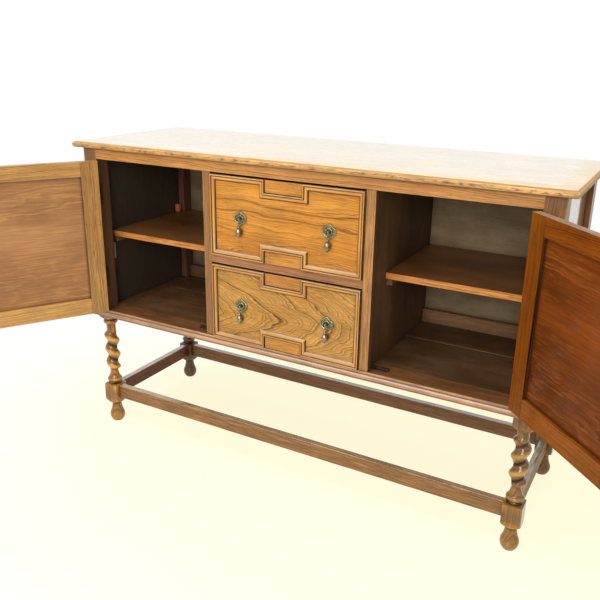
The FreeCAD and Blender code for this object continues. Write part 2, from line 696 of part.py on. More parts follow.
def pull_drop(name):
    """An eye on the pin, a slim shank, a bead and a pear ending in a blunt point, hung from the origin."""
    eye = value("eye_radius")
    thick = value("eye_thick")
    shank = value("drop_shank")
    length = value("drop_length")
    pear = value("drop_radius")
    turning = [(0.1 * pear, -length), (0.4 * pear, -0.94 * length), (0.84 * pear, -0.82 * length),
               (pear, -0.7 * length), (0.82 * pear, -0.59 * length), (1.2 * shank, -0.5 * length),
               (2.2 * shank, -0.46 * length), (2.2 * shank, -0.4 * length), (shank, -0.36 * length),
               (shank, -0.6 * eye)]
    drop = cross_bar(eye, thick).fuse(turned(turning, drop_sides))
    return shaped(name, drop.cut(cross_bar(value("pull_pin_radius + pull_play"), 2 * thick)))


# Drawers: a front with lapped dovetails, sides, back and a bottom in grooves.
tails_each = 3


def tails(name, side, low, high, play):
    """Dovetails on the front end of a drawer side; with play, the sockets that take them."""
    pitch = f"(({high}) - ({low})) / {tails_each}"
    solids = []
    for number in range(tails_each):
        tail = doc.addObject("Part::Wedge", f"{name}_{number}")
        middle = f"(({low}) + {pitch} * {number + 0.5})"
        narrow = f"({pitch} / 2 - tail_flare + {play})"
        wide = f"({pitch} / 2 - tail_flare / 2 + {play})"
        x = across(side, f"{drawer_half} - drawer_side_thick", drawer_half)
        extents = {"Xmin": x[0], "Xmax": x[1], "X2min": x[0], "X2max": x[1],
                   "Ymin": f"-tail_length - {play}", "Ymax": "0",
                   "Zmin": f"{middle} - {wide}", "Zmax": f"{middle} + {wide}",
                   "Z2min": f"{middle} - {narrow}", "Z2max": f"{middle} + {narrow}"}
        for extent, text in extents.items():
            tail.setExpression(extent, bound(text))
        solids.append(put(tail, y=drawer_joint))
    return solids


drawer_half = "(drawer_opening / 2 - drawer_gap)"
drawer_face = f"({front} + drawer_set)"
drawer_joint = f"({front} + drawer_set + drawer_front_thick)"
drawer_end = f"({back_rail_face} - drawer_back_gap)"
drawers = {"upper": (f"({divider_top} + drawer_seat)", f"({rail_low} - drawer_top_gap)"),
           "lower": (f"({base_top} + drawer_seat)", f"({divider_low} - drawer_top_gap)")}
for label, (low, high) in drawers.items():
    side_high = f"({high} - drawer_side_drop)"
    groove_z = (f"{low} + drawer_bottom_rise", f"{low} + drawer_bottom_rise + drawer_bottom_thick")
    bottom_x = f"({drawer_half} - drawer_side_thick + bottom_groove)"
    bottom_y = (f"({drawer_joint} - bottom_groove)", drawer_end)
    sockets = [piece for side_label, side in sides.items()
               for piece in tails(f"{label}_{side_label}_socket", side, low, side_high, "tail_play")]
    groove = box(f"{label}_front_groove", (f"-{bottom_x}", bottom_x), (bottom_y[0], drawer_joint), groove_z)
    board = box(f"{label}_front_board", (f"-{drawer_half}", drawer_half), (drawer_face, drawer_joint),
                (low, high))
    node(f"{label}_drawer_front", cut(f"{label}_front_cut", board, groove, *sockets))
    pieces = []
    for side_label, side in sides.items():
        name = f"{label}_{side_label}_side"
        board = box(name + "_board", across(side, f"{drawer_half} - drawer_side_thick", drawer_half),
                    (drawer_joint, drawer_end), (low, side_high))
        groove = box(name + "_groove", across(side, f"{drawer_half} - drawer_side_thick", bottom_x),
                     (bottom_y[0], drawer_end), groove_z)
        dovetails = tails(name + "_tail", side, low, side_high, "0")
        pieces.append(cut(name + "_cut", fuse(name + "_joined", board, *dovetails), groove))
    inside = f"({drawer_half} - drawer_side_thick)"
    pieces.append(box(f"{label}_drawer_back", (f"-{inside}", inside),
                      (f"{drawer_end} - drawer_side_thick", drawer_end), (groove_z[1], side_high)))
    node(f"{label}_drawer_box", *pieces)
    node(f"{label}_drawer_bottom", box(f"{label}_drawer_sheet", (f"-{bottom_x}", bottom_x),
                                       (bottom_y[0], drawer_end), groove_z))
    inset = value("moulding_inset")
    half_front = value(f"{drawer_half} - moulding_inset")
    top_inset = value(f"{high} - {low} - moulding_inset")
    pieces = geometric_moulding(f"{label}_moulding", half_front, inset, top_inset)
    moulding = node(f"{label}_drawer_moulding", *pieces)
    put(moulding, y=drawer_face, z=low)
    pull_z = f"(({low} + {high}) / 2)"
    plates = [put(pull_plate(f"{label}_{side_label}_plate"), x=f"{side} * pull_spacing / 2")
              for side_label, side in sides.items()]
    put(node(f"{label}_drawer_plates", *plates), y=drawer_face, z=pull_z)
    for side_label, side in sides.items():
        drop = node(f"{label}_drawer_{side_label}_drop", pull_drop(f"{label}_{side_label}_pear"))
        put(drop, x=f"{side} * pull_spacing / 2", y=f"{drawer_face} - boss_out", z=pull_z)


# Doors, in the hinge's own frame: the pin at the origin, the door shut along x, then turned open.
def hang(feature, side, label):
    put(feature, x=f"{side} * {hinge_x}", y=hinge_y)
    feature.setExpression(".Placement.Rotation.Angle", bound(f"{side} * {label}_door_open * 1 deg"))
    return feature


face = "(hinge_out + door_set)"
door_width = f"({hinge_x} - {stile_out} - door_gap)"
near = "(door_gap / 2)"
panel_front = f"({face} + door_panel_set)"
panel_rear = f"({face} + door_panel_set + door_panel_thick)"
for label, side in sides.items():
    level = (door_low, door_high)
    y = (face, f"{face} + door_thick")
    groove_y = (panel_front, panel_rear)
    inner = (f"{near} + door_stile", f"{door_width} - door_stile")
    tongue = (f"{inner[0]} - groove_depth", f"{inner[1]} + groove_depth")
    opening_z = (f"{door_low} + door_bottom_rail", f"{door_high} - door_top_rail")
    groove_z = (f"{opening_z[0]} - groove_depth", f"{opening_z[1]} + groove_depth")
    frame = []
    leaf_x = across(-side, near, f"{near} + leaf_thick")
    leaf_y = (face, "hinge_out + leaf_width")
    recesses = [box(f"{label}_edge_recess_{number}", leaf_x, leaf_y, (at, f"{at} + hinge_height"))
                for number, at in enumerate(hinge_levels)]
    for place, x, slot, extra in (("hinge", (near, inner[0]), (tongue[0], inner[0]), recesses),
                                  ("meeting", (inner[1], door_width), (inner[1], tongue[1]), [])):
        bar = box(f"{label}_{place}_stile", across(-side, *x), y, level)
        groove = box(f"{label}_{place}_groove", across(-side, *slot), groove_y, level)
        frame.append(cut(f"{label}_{place}_cut", bar, groove, *extra))
    for place, z, slot in (("bottom", (door_low, opening_z[0]), (groove_z[0], opening_z[0])),
                           ("top", (opening_z[1], door_high), (opening_z[1], groove_z[1]))):
        bar = box(f"{label}_{place}_rail", across(-side, *inner), y, z)
        tenons = box(f"{label}_{place}_tenons", across(-side, *tongue), groove_y, z)
        groove = box(f"{label}_{place}_slot", across(-side, *tongue), groove_y, slot)
        frame.append(cut(f"{label}_{place}_rail_cut", fuse(f"{label}_{place}_bars", bar, tenons), groove))
    hang(node(f"{label}_door_frame", *frame), side, label)
    sheet = box(f"{label}_door_sheet", across(-side, *tongue), groove_y, groove_z)
    hang(node(f"{label}_door_panel", sheet), side, label)
    leaves = [hinge_leaf(f"{label}_door_leaf_{number}", at, leaf_x, leaf_y, ("0", face), door_spans)
              for number, at in enumerate(hinge_levels)]
    hang(node(f"{label}_door_leaves", *leaves), side, label)
    span = value(f"{inner[1]} - ({inner[0]})")
    tall = value(f"{opening_z[1]} - ({opening_z[0]})")
    pieces = geometric_moulding(f"{label}_door_ring", span / 2, 0, tall)
    for piece in pieces:
        put(piece, x=f"{-side} * ({inner[0]} + {inner[1]}) / 2", y=panel_front, z=opening_z[0])
    hang(node(f"{label}_door_moulding", *pieces), side, label)
    pull_u = f"({door_width} - door_stile / 2)"
    pull_z = f"(({door_low} + {door_high}) / 2)"
    plate = put(pull_plate(f"{label}_door_stamping"), x=f"{-side} * {pull_u}", y=face, z=pull_z)
    hang(node(f"{label}_door_plate", plate), side, label)
    drop = put(pull_drop(f"{label}_door_pear"), x=f"{-side} * {pull_u}", y=f"{face} - boss_out", z=pull_z)
    hang(node(f"{label}_door_drop", drop), side, label)

# Spring catches screwed to the cupboard floor beside the stiles: a strip bent up into a ridge.
catches = []
for label, side in sides.items():
    near_x = f"({partition_out} + catch_side)"
    front_y = f"({front} + catch_back)"
    x = across(side, near_x, f"{near_x} + catch_length")
    third = "(catch_width / 3)"
    sole = box(f"{label}_catch_sole", x, (front_y, f"{front_y} + catch_width"),
               (base_top, f"{base_top} + catch_thick"))
    ridge = box(f"{label}_catch_ridge", x, (f"{front_y} + {third}", f"{front_y} + 2 * {third}"),
                (base_top, f"{base_top} + catch_rise"))
    hollow = box(f"{label}_catch_hollow", x,
                 (f"{front_y} + {third} + catch_thick", f"{front_y} + 2 * {third} - catch_thick"),
                 (base_top, f"{base_top} + catch_rise - catch_thick"))
    catches.append(cut(f"{label}_catch", fuse(f"{label}_catch_strip", sole, ridge), hollow))
node("door_catches", *catches)

doc.recompute()
faults = [item.Name for item in doc.Objects if "Invalid" in item.State or "Error" in item.State]
faults += [item.Label for item in nodes if item.Shape.isNull() or not item.Shape.isValid()]
if faults:
    raise RuntimeError("failed: " + ", ".join(faults))
os.makedirs("parts", exist_ok=True)
for item in nodes:
    item.Shape.exportStep(f"parts/{item.Label}.step")
print(len(nodes), "sub-parts,", sum(len(item.Shape.Solids) for item in nodes), "solids")
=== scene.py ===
import math
from types import SimpleNamespace

import bpy
import numpy as np
from mathutils import Matrix, Vector


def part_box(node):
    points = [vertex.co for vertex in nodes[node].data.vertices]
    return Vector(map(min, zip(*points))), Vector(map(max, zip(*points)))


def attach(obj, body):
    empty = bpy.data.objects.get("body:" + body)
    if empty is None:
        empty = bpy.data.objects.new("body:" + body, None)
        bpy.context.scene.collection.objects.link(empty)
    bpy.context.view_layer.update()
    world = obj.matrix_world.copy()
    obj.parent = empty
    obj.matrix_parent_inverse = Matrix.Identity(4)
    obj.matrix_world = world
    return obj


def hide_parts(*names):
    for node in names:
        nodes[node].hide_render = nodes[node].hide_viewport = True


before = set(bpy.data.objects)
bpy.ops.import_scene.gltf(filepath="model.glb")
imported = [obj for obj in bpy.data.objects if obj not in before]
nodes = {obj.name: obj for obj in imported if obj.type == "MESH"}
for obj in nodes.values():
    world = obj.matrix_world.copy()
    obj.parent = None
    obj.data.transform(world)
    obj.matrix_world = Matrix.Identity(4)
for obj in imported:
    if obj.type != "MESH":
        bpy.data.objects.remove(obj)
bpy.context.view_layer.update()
mm = 0.001
print("frame:", len(nodes), "CAD nodes")


def addObject(name, data):
    made = bpy.data.objects.new(name, data)
    bpy.context.scene.collection.objects.link(made)
    return made


# camera, fitted to the edges of the case and the legs

cameraLook = {"spot": (0.876, -1.7125, 1.142), "yaw": 28.90, "pitch": 19.39, "roll": 0.91,
              "focalPixels": 712.8, "imagePixels": 600, "sensor": 36}


def makeCamera(look):
    yaw, pitch, roll = (math.radians(look[key]) for key in ("yaw", "pitch", "roll"))
    ahead = np.array([-math.sin(yaw) * math.cos(pitch), math.cos(yaw) * math.cos(pitch), -math.sin(pitch)])
    level = np.array([math.cos(yaw), math.sin(yaw), 0.0])
    rise = np.cross(level, ahead)
    right = math.cos(roll) * level + math.sin(roll) * rise
    up = math.cos(roll) * rise - math.sin(roll) * level
    data = bpy.data.cameras.new("camera")
    data.sensor_width = look["sensor"]
    data.lens = look["focalPixels"] / look["imagePixels"] * look["sensor"]
    camera = addObject("camera", data)
    pose = np.eye(4)
    pose[:3] = np.column_stack([right, up, -ahead, look["spot"]])
    camera.matrix_world = Matrix(pose.tolist())
    bpy.context.scene.camera = camera


makeCamera(cameraLook)
bpy.context.scene.view_settings.view_transform = "Standard"
print("camera set")


# node wiring, shared by every finish

def paint(red, green, blue):
    # screen colour, 0 to 255, to the linear colour that a shader takes
    share = np.array([red, green, blue]) / 255
    linear = np.where(share <= 0.04045, share / 12.92, ((share + 0.055) / 1.055) ** 2.4)
    return (*linear.tolist(), 1.0)


def dimmed(tone, share):
    return tuple(share * part for part in tone)


def wiring(tree):
    tree.nodes.clear()

    def add(kind, inputs=None, **settings):
        made = tree.nodes.new("ShaderNode" + kind)
        for key, value in settings.items():
            setattr(made, key, value)
        for key, value in (inputs or {}).items():
            if isinstance(value, bpy.types.NodeSocket):
                tree.links.new(value, made.inputs[key])
            else:
                made.inputs[key].default_value = value
        return made

    def calc(operation, *values, clamp=False):
        return add("Math", dict(enumerate(values)), operation=operation, use_clamp=clamp).outputs[0]

    def times(first, second, clamp=False):
        return calc("MULTIPLY", first, second, clamp=clamp)

    def vec(operation, *values):
        return add("VectorMath", dict(enumerate(values)), operation=operation).outputs[0]

    def blend(share, first, second, mode="MIX"):
        return add("Mix", {0: share, 6: first, 7: second}, data_type="RGBA", blend_type=mode).outputs[2]

    def tint(share, colour, tone):
        # a share of a screen colour over the colour
        return blend(share, colour, paint(*tone))

    def shaded(share, colour, level):
        # colour times a grey level
        grey = add("CombineColor", {0: level, 1: level, 2: level}).outputs[0]
        return blend(share, colour, grey, "MULTIPLY")

    def fade(value, low, high, start=0.0, end=1.0):
        # smooth step from start, at low, to end, at high
        return add("MapRange", {0: value, 1: low, 2: high, 3: start, 4: end},
                   interpolation_type="SMOOTHSTEP").outputs[0]

    def noise(place, stretch, detail=2.0, rough=0.5):
        return add("TexNoise", {"Vector": vec("MULTIPLY", place, stretch), "Scale": 1.0, "Detail": detail,
                                "Roughness": rough}).outputs

    def lineNoise(value, detail):
        inputs = {"W": value, "Scale": 1.0, "Detail": detail}
        return add("TexNoise", inputs, noise_dimensions="1D").outputs[0]

    def split(vector):
        return add("SeparateXYZ", {0: vector}).outputs

    def surface(relief, bump, distance, inputs):
        # principled surface with a bump, joined to the output
        normal = add("Bump", {"Strength": bump, "Distance": distance, "Height": relief}).outputs[0]
        shader = add("BsdfPrincipled", {"Normal": normal, **inputs})
        add("OutputMaterial", {"Surface": shader.outputs[0]})

    return SimpleNamespace(add=add, calc=calc, times=times, vec=vec, blend=blend, tint=tint, shaded=shaded,
                           fade=fade, noise=noise, lineNoise=lineNoise, split=split, surface=surface)


def newMaterial(name):
    material = bpy.data.materials.new(name)
    material.use_nodes = True
    return material, wiring(material.node_tree)


# meshes from arrays of points

def gridQuads(rows, columns, wrapRows=False, wrapColumns=False, start=0):
    # quad (i, j) joins grid points i, i + 1 and j, j + 1, going round where a side is closed
    i = np.arange(rows if wrapRows else rows - 1)[:, None]
    j = np.arange(columns if wrapColumns else columns - 1)[None, :]
    nextI = (i + 1) % rows
    nextJ = (j + 1) % columns
    corners = np.broadcast_arrays(i * columns + j, i * columns + nextJ, nextI * columns + nextJ,
                                  nextI * columns + j)
    return np.stack(corners, axis=-1).reshape(-1, 4) + start


def endFaces(rows, columns):
    # the grid's first row, turned over, and its last row
    return [list(range(columns))[::-1], list(range((rows - 1) * columns, rows * columns))]


def circle(steps):
    return np.linspace(0, 2 * math.pi, steps, endpoint=False)


def unit(vectors):
    return vectors / np.linalg.norm(vectors, axis=-1, keepdims=True)


def placed(points, place):
    return points @ place[:3, :3].T + place[:3, 3]


def makePiece(name, points, faces, body, stands, finish, values=None, places=None, sharp=38):
    # values: one number for each point; places: one vector for each face corner, in face order
    mesh = bpy.data.meshes.new(name)
    mesh.from_pydata(np.asarray(points).reshape(-1, 3).tolist(), [], faces)
    for label, numbers in (values or {}).items():
        layer = mesh.attributes.new(label, "FLOAT", "POINT")
        layer.data.foreach_set("value", np.asarray(numbers, np.float32).ravel())
    for label, vectors in (places or {}).items():
        layer = mesh.attributes.new(label, "FLOAT_VECTOR", "CORNER")
        layer.data.foreach_set("vector", np.asarray(vectors, np.float32).ravel())
    mesh.polygons.foreach_set("use_smooth", np.ones(len(mesh.polygons), bool))
    mesh.set_sharp_from_angle(angle=math.radians(sharp))
    mesh.materials.append(finish)
    piece = addObject(name, mesh)
    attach(piece, body)
    if stands:
        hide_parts(*stands)
    return piece


# white surroundings for the camera and for reflections, soft light on everything else

studioLook = {"ambient": 0.40, "ambientTint": (1.0, 0.985, 0.96, 1), "white": (1, 1, 1, 1),
              "lamps": {"overhead": {"spot": (-0.3, -1.5, 3.6), "size": 3.0, "power": 72},
                        "front": {"spot": (0.9, -3.4, 1.9), "size": 1.3, "power": 58}},
              "aim": (0, 0, 0.5), "floorReach": 14.0, "floorLines": 9, "floorDrop": 0.3 * mm,
              "floorBounce": (0.86, 0.85, 0.80, 1), "floorDiffuse": (0.27, 0.27, 0.28),
              "mottle": 0.97, "mottleStretch": (3.0, 3.0, 3.0), "mottleFade": (0.35, 0.65),
              "floorGlow": (0.88, 0.84, 0.59, 1), "warmSpot": (0.25, 0.0, 0.0),
              "warmReach": (0.75, 1.0, 1.0), "warmFade": (0.5, 1.3)}


def seenDirectly(wire):
    # 1 for rays that show the surroundings themselves: camera, glossy and transmission rays
    path = wire.add("LightPath").outputs
    shown = wire.calc("MAXIMUM", path["Is Camera Ray"], path["Is Glossy Ray"])
    return wire.calc("MAXIMUM", shown, path["Is Transmission Ray"])


def makeStudio(look):
    world = bpy.data.worlds.new("studio")
    world.use_nodes = True
    bpy.context.scene.world = world
    wire = wiring(world.node_tree)
    soft = wire.add("Background", {"Color": look["ambientTint"], "Strength": look["ambient"]})
    white = wire.add("Background", {"Color": look["white"], "Strength": 1.0})
    both = wire.add("MixShader", {0: seenDirectly(wire), 1: soft.outputs[0], 2: white.outputs[0]})
    wire.add("OutputWorld", {"Surface": both.outputs[0]})

    for name, lamp in look["lamps"].items():
        data = bpy.data.lights.new(name, "AREA")
        data.size = lamp["size"]
        data.energy = lamp["power"]
        light = addObject(name, data)
        light.location = lamp["spot"]
        back = Vector(lamp["spot"]) - Vector(look["aim"])
        light.rotation_euler = back.to_track_quat("Z", "Y").to_euler()

    # floor: a level sheet just under the feet, its grid reaching to the white surroundings
    lines = look["floorLines"]
    steps = np.linspace(-look["floorReach"], look["floorReach"], lines)
    across, along = np.meshgrid(steps, steps, indexing="ij")
    sheet = np.stack([across, along, np.full_like(across, -look["floorDrop"])], axis=-1)
    mesh = bpy.data.meshes.new("studioFloor")
    mesh.from_pydata(sheet.reshape(-1, 3).tolist(), [], gridQuads(lines, lines).tolist())
    floor = addObject("studioFloor", mesh)

    # floor's look: diffuse for light; for the rays that show it, a warm glow near the case, painted bounce
    # light from the wood, and white further off
    material, wire = newMaterial("paleFloor")
    place = wire.add("TexCoord").outputs["Object"]
    mottle = wire.fade(wire.noise(place, look["mottleStretch"], 4.0)[0], *look["mottleFade"])
    plain = look["floorDiffuse"]
    shade = wire.blend(mottle, (*plain, 1), (*dimmed(plain, look["mottle"]), 1))
    bounce = wire.add("BsdfDiffuse", {"Color": look["floorBounce"]})
    shown = wire.add("BsdfDiffuse", {"Color": shade})
    # painted light: the glow's warm tint near the case stands for light bounced off the wood
    glow = wire.add("Emission", {"Color": look["floorGlow"], "Strength": 1.0})
    near = wire.add("AddShader", {0: shown.outputs[0], 1: glow.outputs[0]})
    blank = wire.add("Emission", {"Color": look["white"], "Strength": 1.0})
    spread = wire.vec("MULTIPLY", wire.vec("SUBTRACT", place, look["warmSpot"]), look["warmReach"])
    distance = wire.add("VectorMath", {0: spread}, operation="LENGTH").outputs["Value"]
    far = wire.fade(distance, *look["warmFade"])
    seen = wire.add("MixShader", {0: far, 1: near.outputs[0], 2: blank.outputs[0]})
    both = wire.add("MixShader", {0: seenDirectly(wire), 1: bounce.outputs[0], 2: seen.outputs[0]})
    wire.add("OutputMaterial", {"Surface": both.outputs[0]})
    mesh.materials.append(material)


makeStudio(studioLook)
print("studio set")


# oak: a look says how the board was cut, stained and worn, and where light and shade are painted on it

oakBase = {"grain": "X", "turn": 0.0, "pivot": (0, 0, 0), "attribute": False, "seed": 0.0, "framed": None,
           "light": (214, 152, 76), "middle": (188, 126, 58), "dark": (92, 54, 22),
           "ringGap": 5.5 * mm, "heart": (0.0, 0.14), "arrow": 0.0, "taper": 0.03, "warp": 0.014,
           "wave": 0.9, "figure": 0.65, "pores": 0.6, "flecks": 0.6, "streaks": 0.65,
           "rough": 0.42, "coat": 0.12, "coatRough": 0.25, "coatIor": 1.5, "gloss": 0.4, "bump": 0.25,
           "edge": None, "wearWidth": 2.6 * mm, "wear": (222, 166, 100), "wearShare": 0.5, "specks": None,
           "recess": 0.0, "grime": (46, 30, 18), "dust": None, "bloom": None, "zones": (),
           "crevice": 0.75, "creviceReach": 9 * mm}
grainTurns = {"X": (0, 0, 0), "Y": (0, 0, -math.pi / 2), "Z": (0, math.pi / 2, 0)}

# noises: how often they repeat along and across the grain, detail and roughness
grainNoise = {"wander": ((1.7, 6.5, 6.5), 2.0, 0.5), "wave": ((6, 24, 24), 2.0, 0.5),
              "ripple": ((16, 75, 75), 2.0, 0.5), "streak": ((13, 380, 380), 3.0, 0.5),
              "pore": ((65, 1300, 1300), 1.0, 0.5), "fleck": ((24, 400, 400), 2.0, 0.5),
              "tone": ((1.6, 6.0, 6.0), 3.0, 0.6), "blotch": ((9, 16, 16), 4.0, 0.6)}

# smooth steps from those noises to shares: low, high, then start and end where they aren't 0 and 1
grainFades = {"pore": (0.55, 0.70), "fleck": (0.56, 0.70), "stain": (0.33, 0.68), "lineStart": (0.0, 0.10),
              "lineStreak": (0.30, 0.62, 0.35, 1.15), "lineTone": (0.34, 0.66, 0.30, 1.35),
              "fleckPatch": (0.35, 0.65, 0.35, 1.0), "fineStreak": (0.30, 0.70, 0.72, 1.16),
              "cloud": (0.30, 0.72, 0.84, 1.10), "zone": (0.30, 0.70), "ragged": (0.35, 0.70, 0.15, 1.6),
              "grime": (0.25, 0.65, 0.65, 1.1), "rubbed": (0.30, 0.62, 0.2, 1.0), "specks": (0.46, 0.62),
              "dust": (0.40, 0.75), "upward": (0.15, 0.85), "bloom": (0.30, 0.65, 0.55, 1.0),
              "exposed": (0.42, 0.93, 1.0, 0.0), "crevice": (0.25, 0.70, 0.7, 1.1), "sunk": (0.80, 1.0),
              "joint": (0.25 * mm, 0.7 * mm, 1.0, 0.0)}
grainLook = {"seedStep": (1.37, 0.71, 0.53), "wander": 4.0, "ripple": 0.25, "unevenScale": 70.0,
             "uneven": 2.2, "ringTone": 0.43, "lineFall": 2.6, "zoneDark": 0.75, "dullFrom": 0.9,
             "poreInLine": (0.7, 0.35), "cloud": 0.8, "joint": 0.7, "specks": (3.0, 0.65),
             "thinPolish": 0.95, "sunkMatt": 0.35, "dullMatt": 0.3, "poreMatt": 0.12, "blotchMatt": 0.25,
             "poreDepth": -0.6, "lineDepth": -0.5, "blotchDepth": 0.8, "relief": 0.35 * mm}


def zone(tone, strength, *tests):
    # part of a board where every test holds: x, y, z are distances from the middle planes, X, Y, Z are
    # signed; a strength of 1 lies over the figure, less lies under it
    return tests, tone, strength


def oakPlaces(wire, look):
    # the board's own place, the same with the grain along x, and the thin line where stiles meet rails
    if look["attribute"]:
        place = wire.add("Attribute", attribute_name="boardPlace").outputs["Vector"]
    else:
        place = wire.add("TexCoord").outputs["Object"]
    if look["turn"]:
        shift = -(Matrix.Rotation(look["turn"], 3, "Z") @ Vector(look["pivot"]))
        turn = {"Vector": place, "Location": shift, "Rotation": (0, 0, look["turn"])}
        place = wire.add("Mapping", turn).outputs[0]
    along = wire.add("Mapping", {"Vector": place, "Rotation": grainTurns[look["grain"]]}).outputs[0]
    if not look["framed"]:
        return place, along, None
    inner, outer = look["framed"]
    span = wire.calc("ABSOLUTE", wire.split(place)[0])
    offCentre = wire.calc("ABSOLUTE", wire.calc("SUBTRACT", span, (inner + outer) / 2))
    stile = wire.calc("GREATER_THAN", offCentre, (outer - inner) / 2)
    upright = wire.add("Mapping", {"Vector": place, "Rotation": grainTurns["Z"]}).outputs[0]
    along = wire.add("Mix", {0: stile, 4: along, 5: upright}, data_type="VECTOR").outputs[1]
    fromJoint = wire.calc("ABSOLUTE", wire.calc("SUBTRACT", offCentre, (outer - inner) / 2))
    return place, along, wire.fade(fromJoint, *grainFades["joint"])


def oakLines(wire, look, along, noises):
    # rings: distance from the tree's heart line, which leans by taper and wanders by warp, over the ring
    # gap; arrow times the length along the grain draws the rings out into points
    bent = along
    sways = {"wander": grainLook["wander"], "wave": look["wave"], "ripple": grainLook["ripple"]}
    for kind, share in sways.items():
        sway = wire.vec("SUBTRACT", noises[kind][1], (0.5, 0.5, 0.5))
        push = share * look["warp"]
        bent = wire.vec("ADD", bent, wire.vec("MULTIPLY", sway, (0, push, push)))
    length, across, depth = wire.split(bent)
    across = wire.calc("SUBTRACT", across, look["heart"][0])
    depth = wire.calc("SUBTRACT", wire.calc("MULTIPLY_ADD", length, look["taper"], depth), look["heart"][1])
    radius = wire.calc("SQRT", wire.calc("ADD", wire.times(across, across), wire.times(depth, depth)))
    radius = wire.calc("MULTIPLY_ADD", length, look["arrow"], radius)
    uneven = wire.lineNoise(wire.times(radius, grainLook["unevenScale"]), 1.0)
    phase = wire.calc("MULTIPLY_ADD", radius, 1 / look["ringGap"], wire.times(uneven, grainLook["uneven"]))
    saw = wire.calc("FRACT", phase)
    ringTone = wire.lineNoise(wire.times(wire.calc("FLOOR", phase), grainLook["ringTone"]), 0.0)
    fall = wire.calc("POWER", wire.calc("SUBTRACT", 1.0, saw), grainLook["lineFall"])
    band = wire.times(fall, wire.fade(saw, *grainFades["lineStart"]))
    band = wire.times(band, wire.fade(noises["streak"][0], *grainFades["lineStreak"]))
    return wire.times(band, wire.fade(ringTone, *grainFades["lineTone"]))


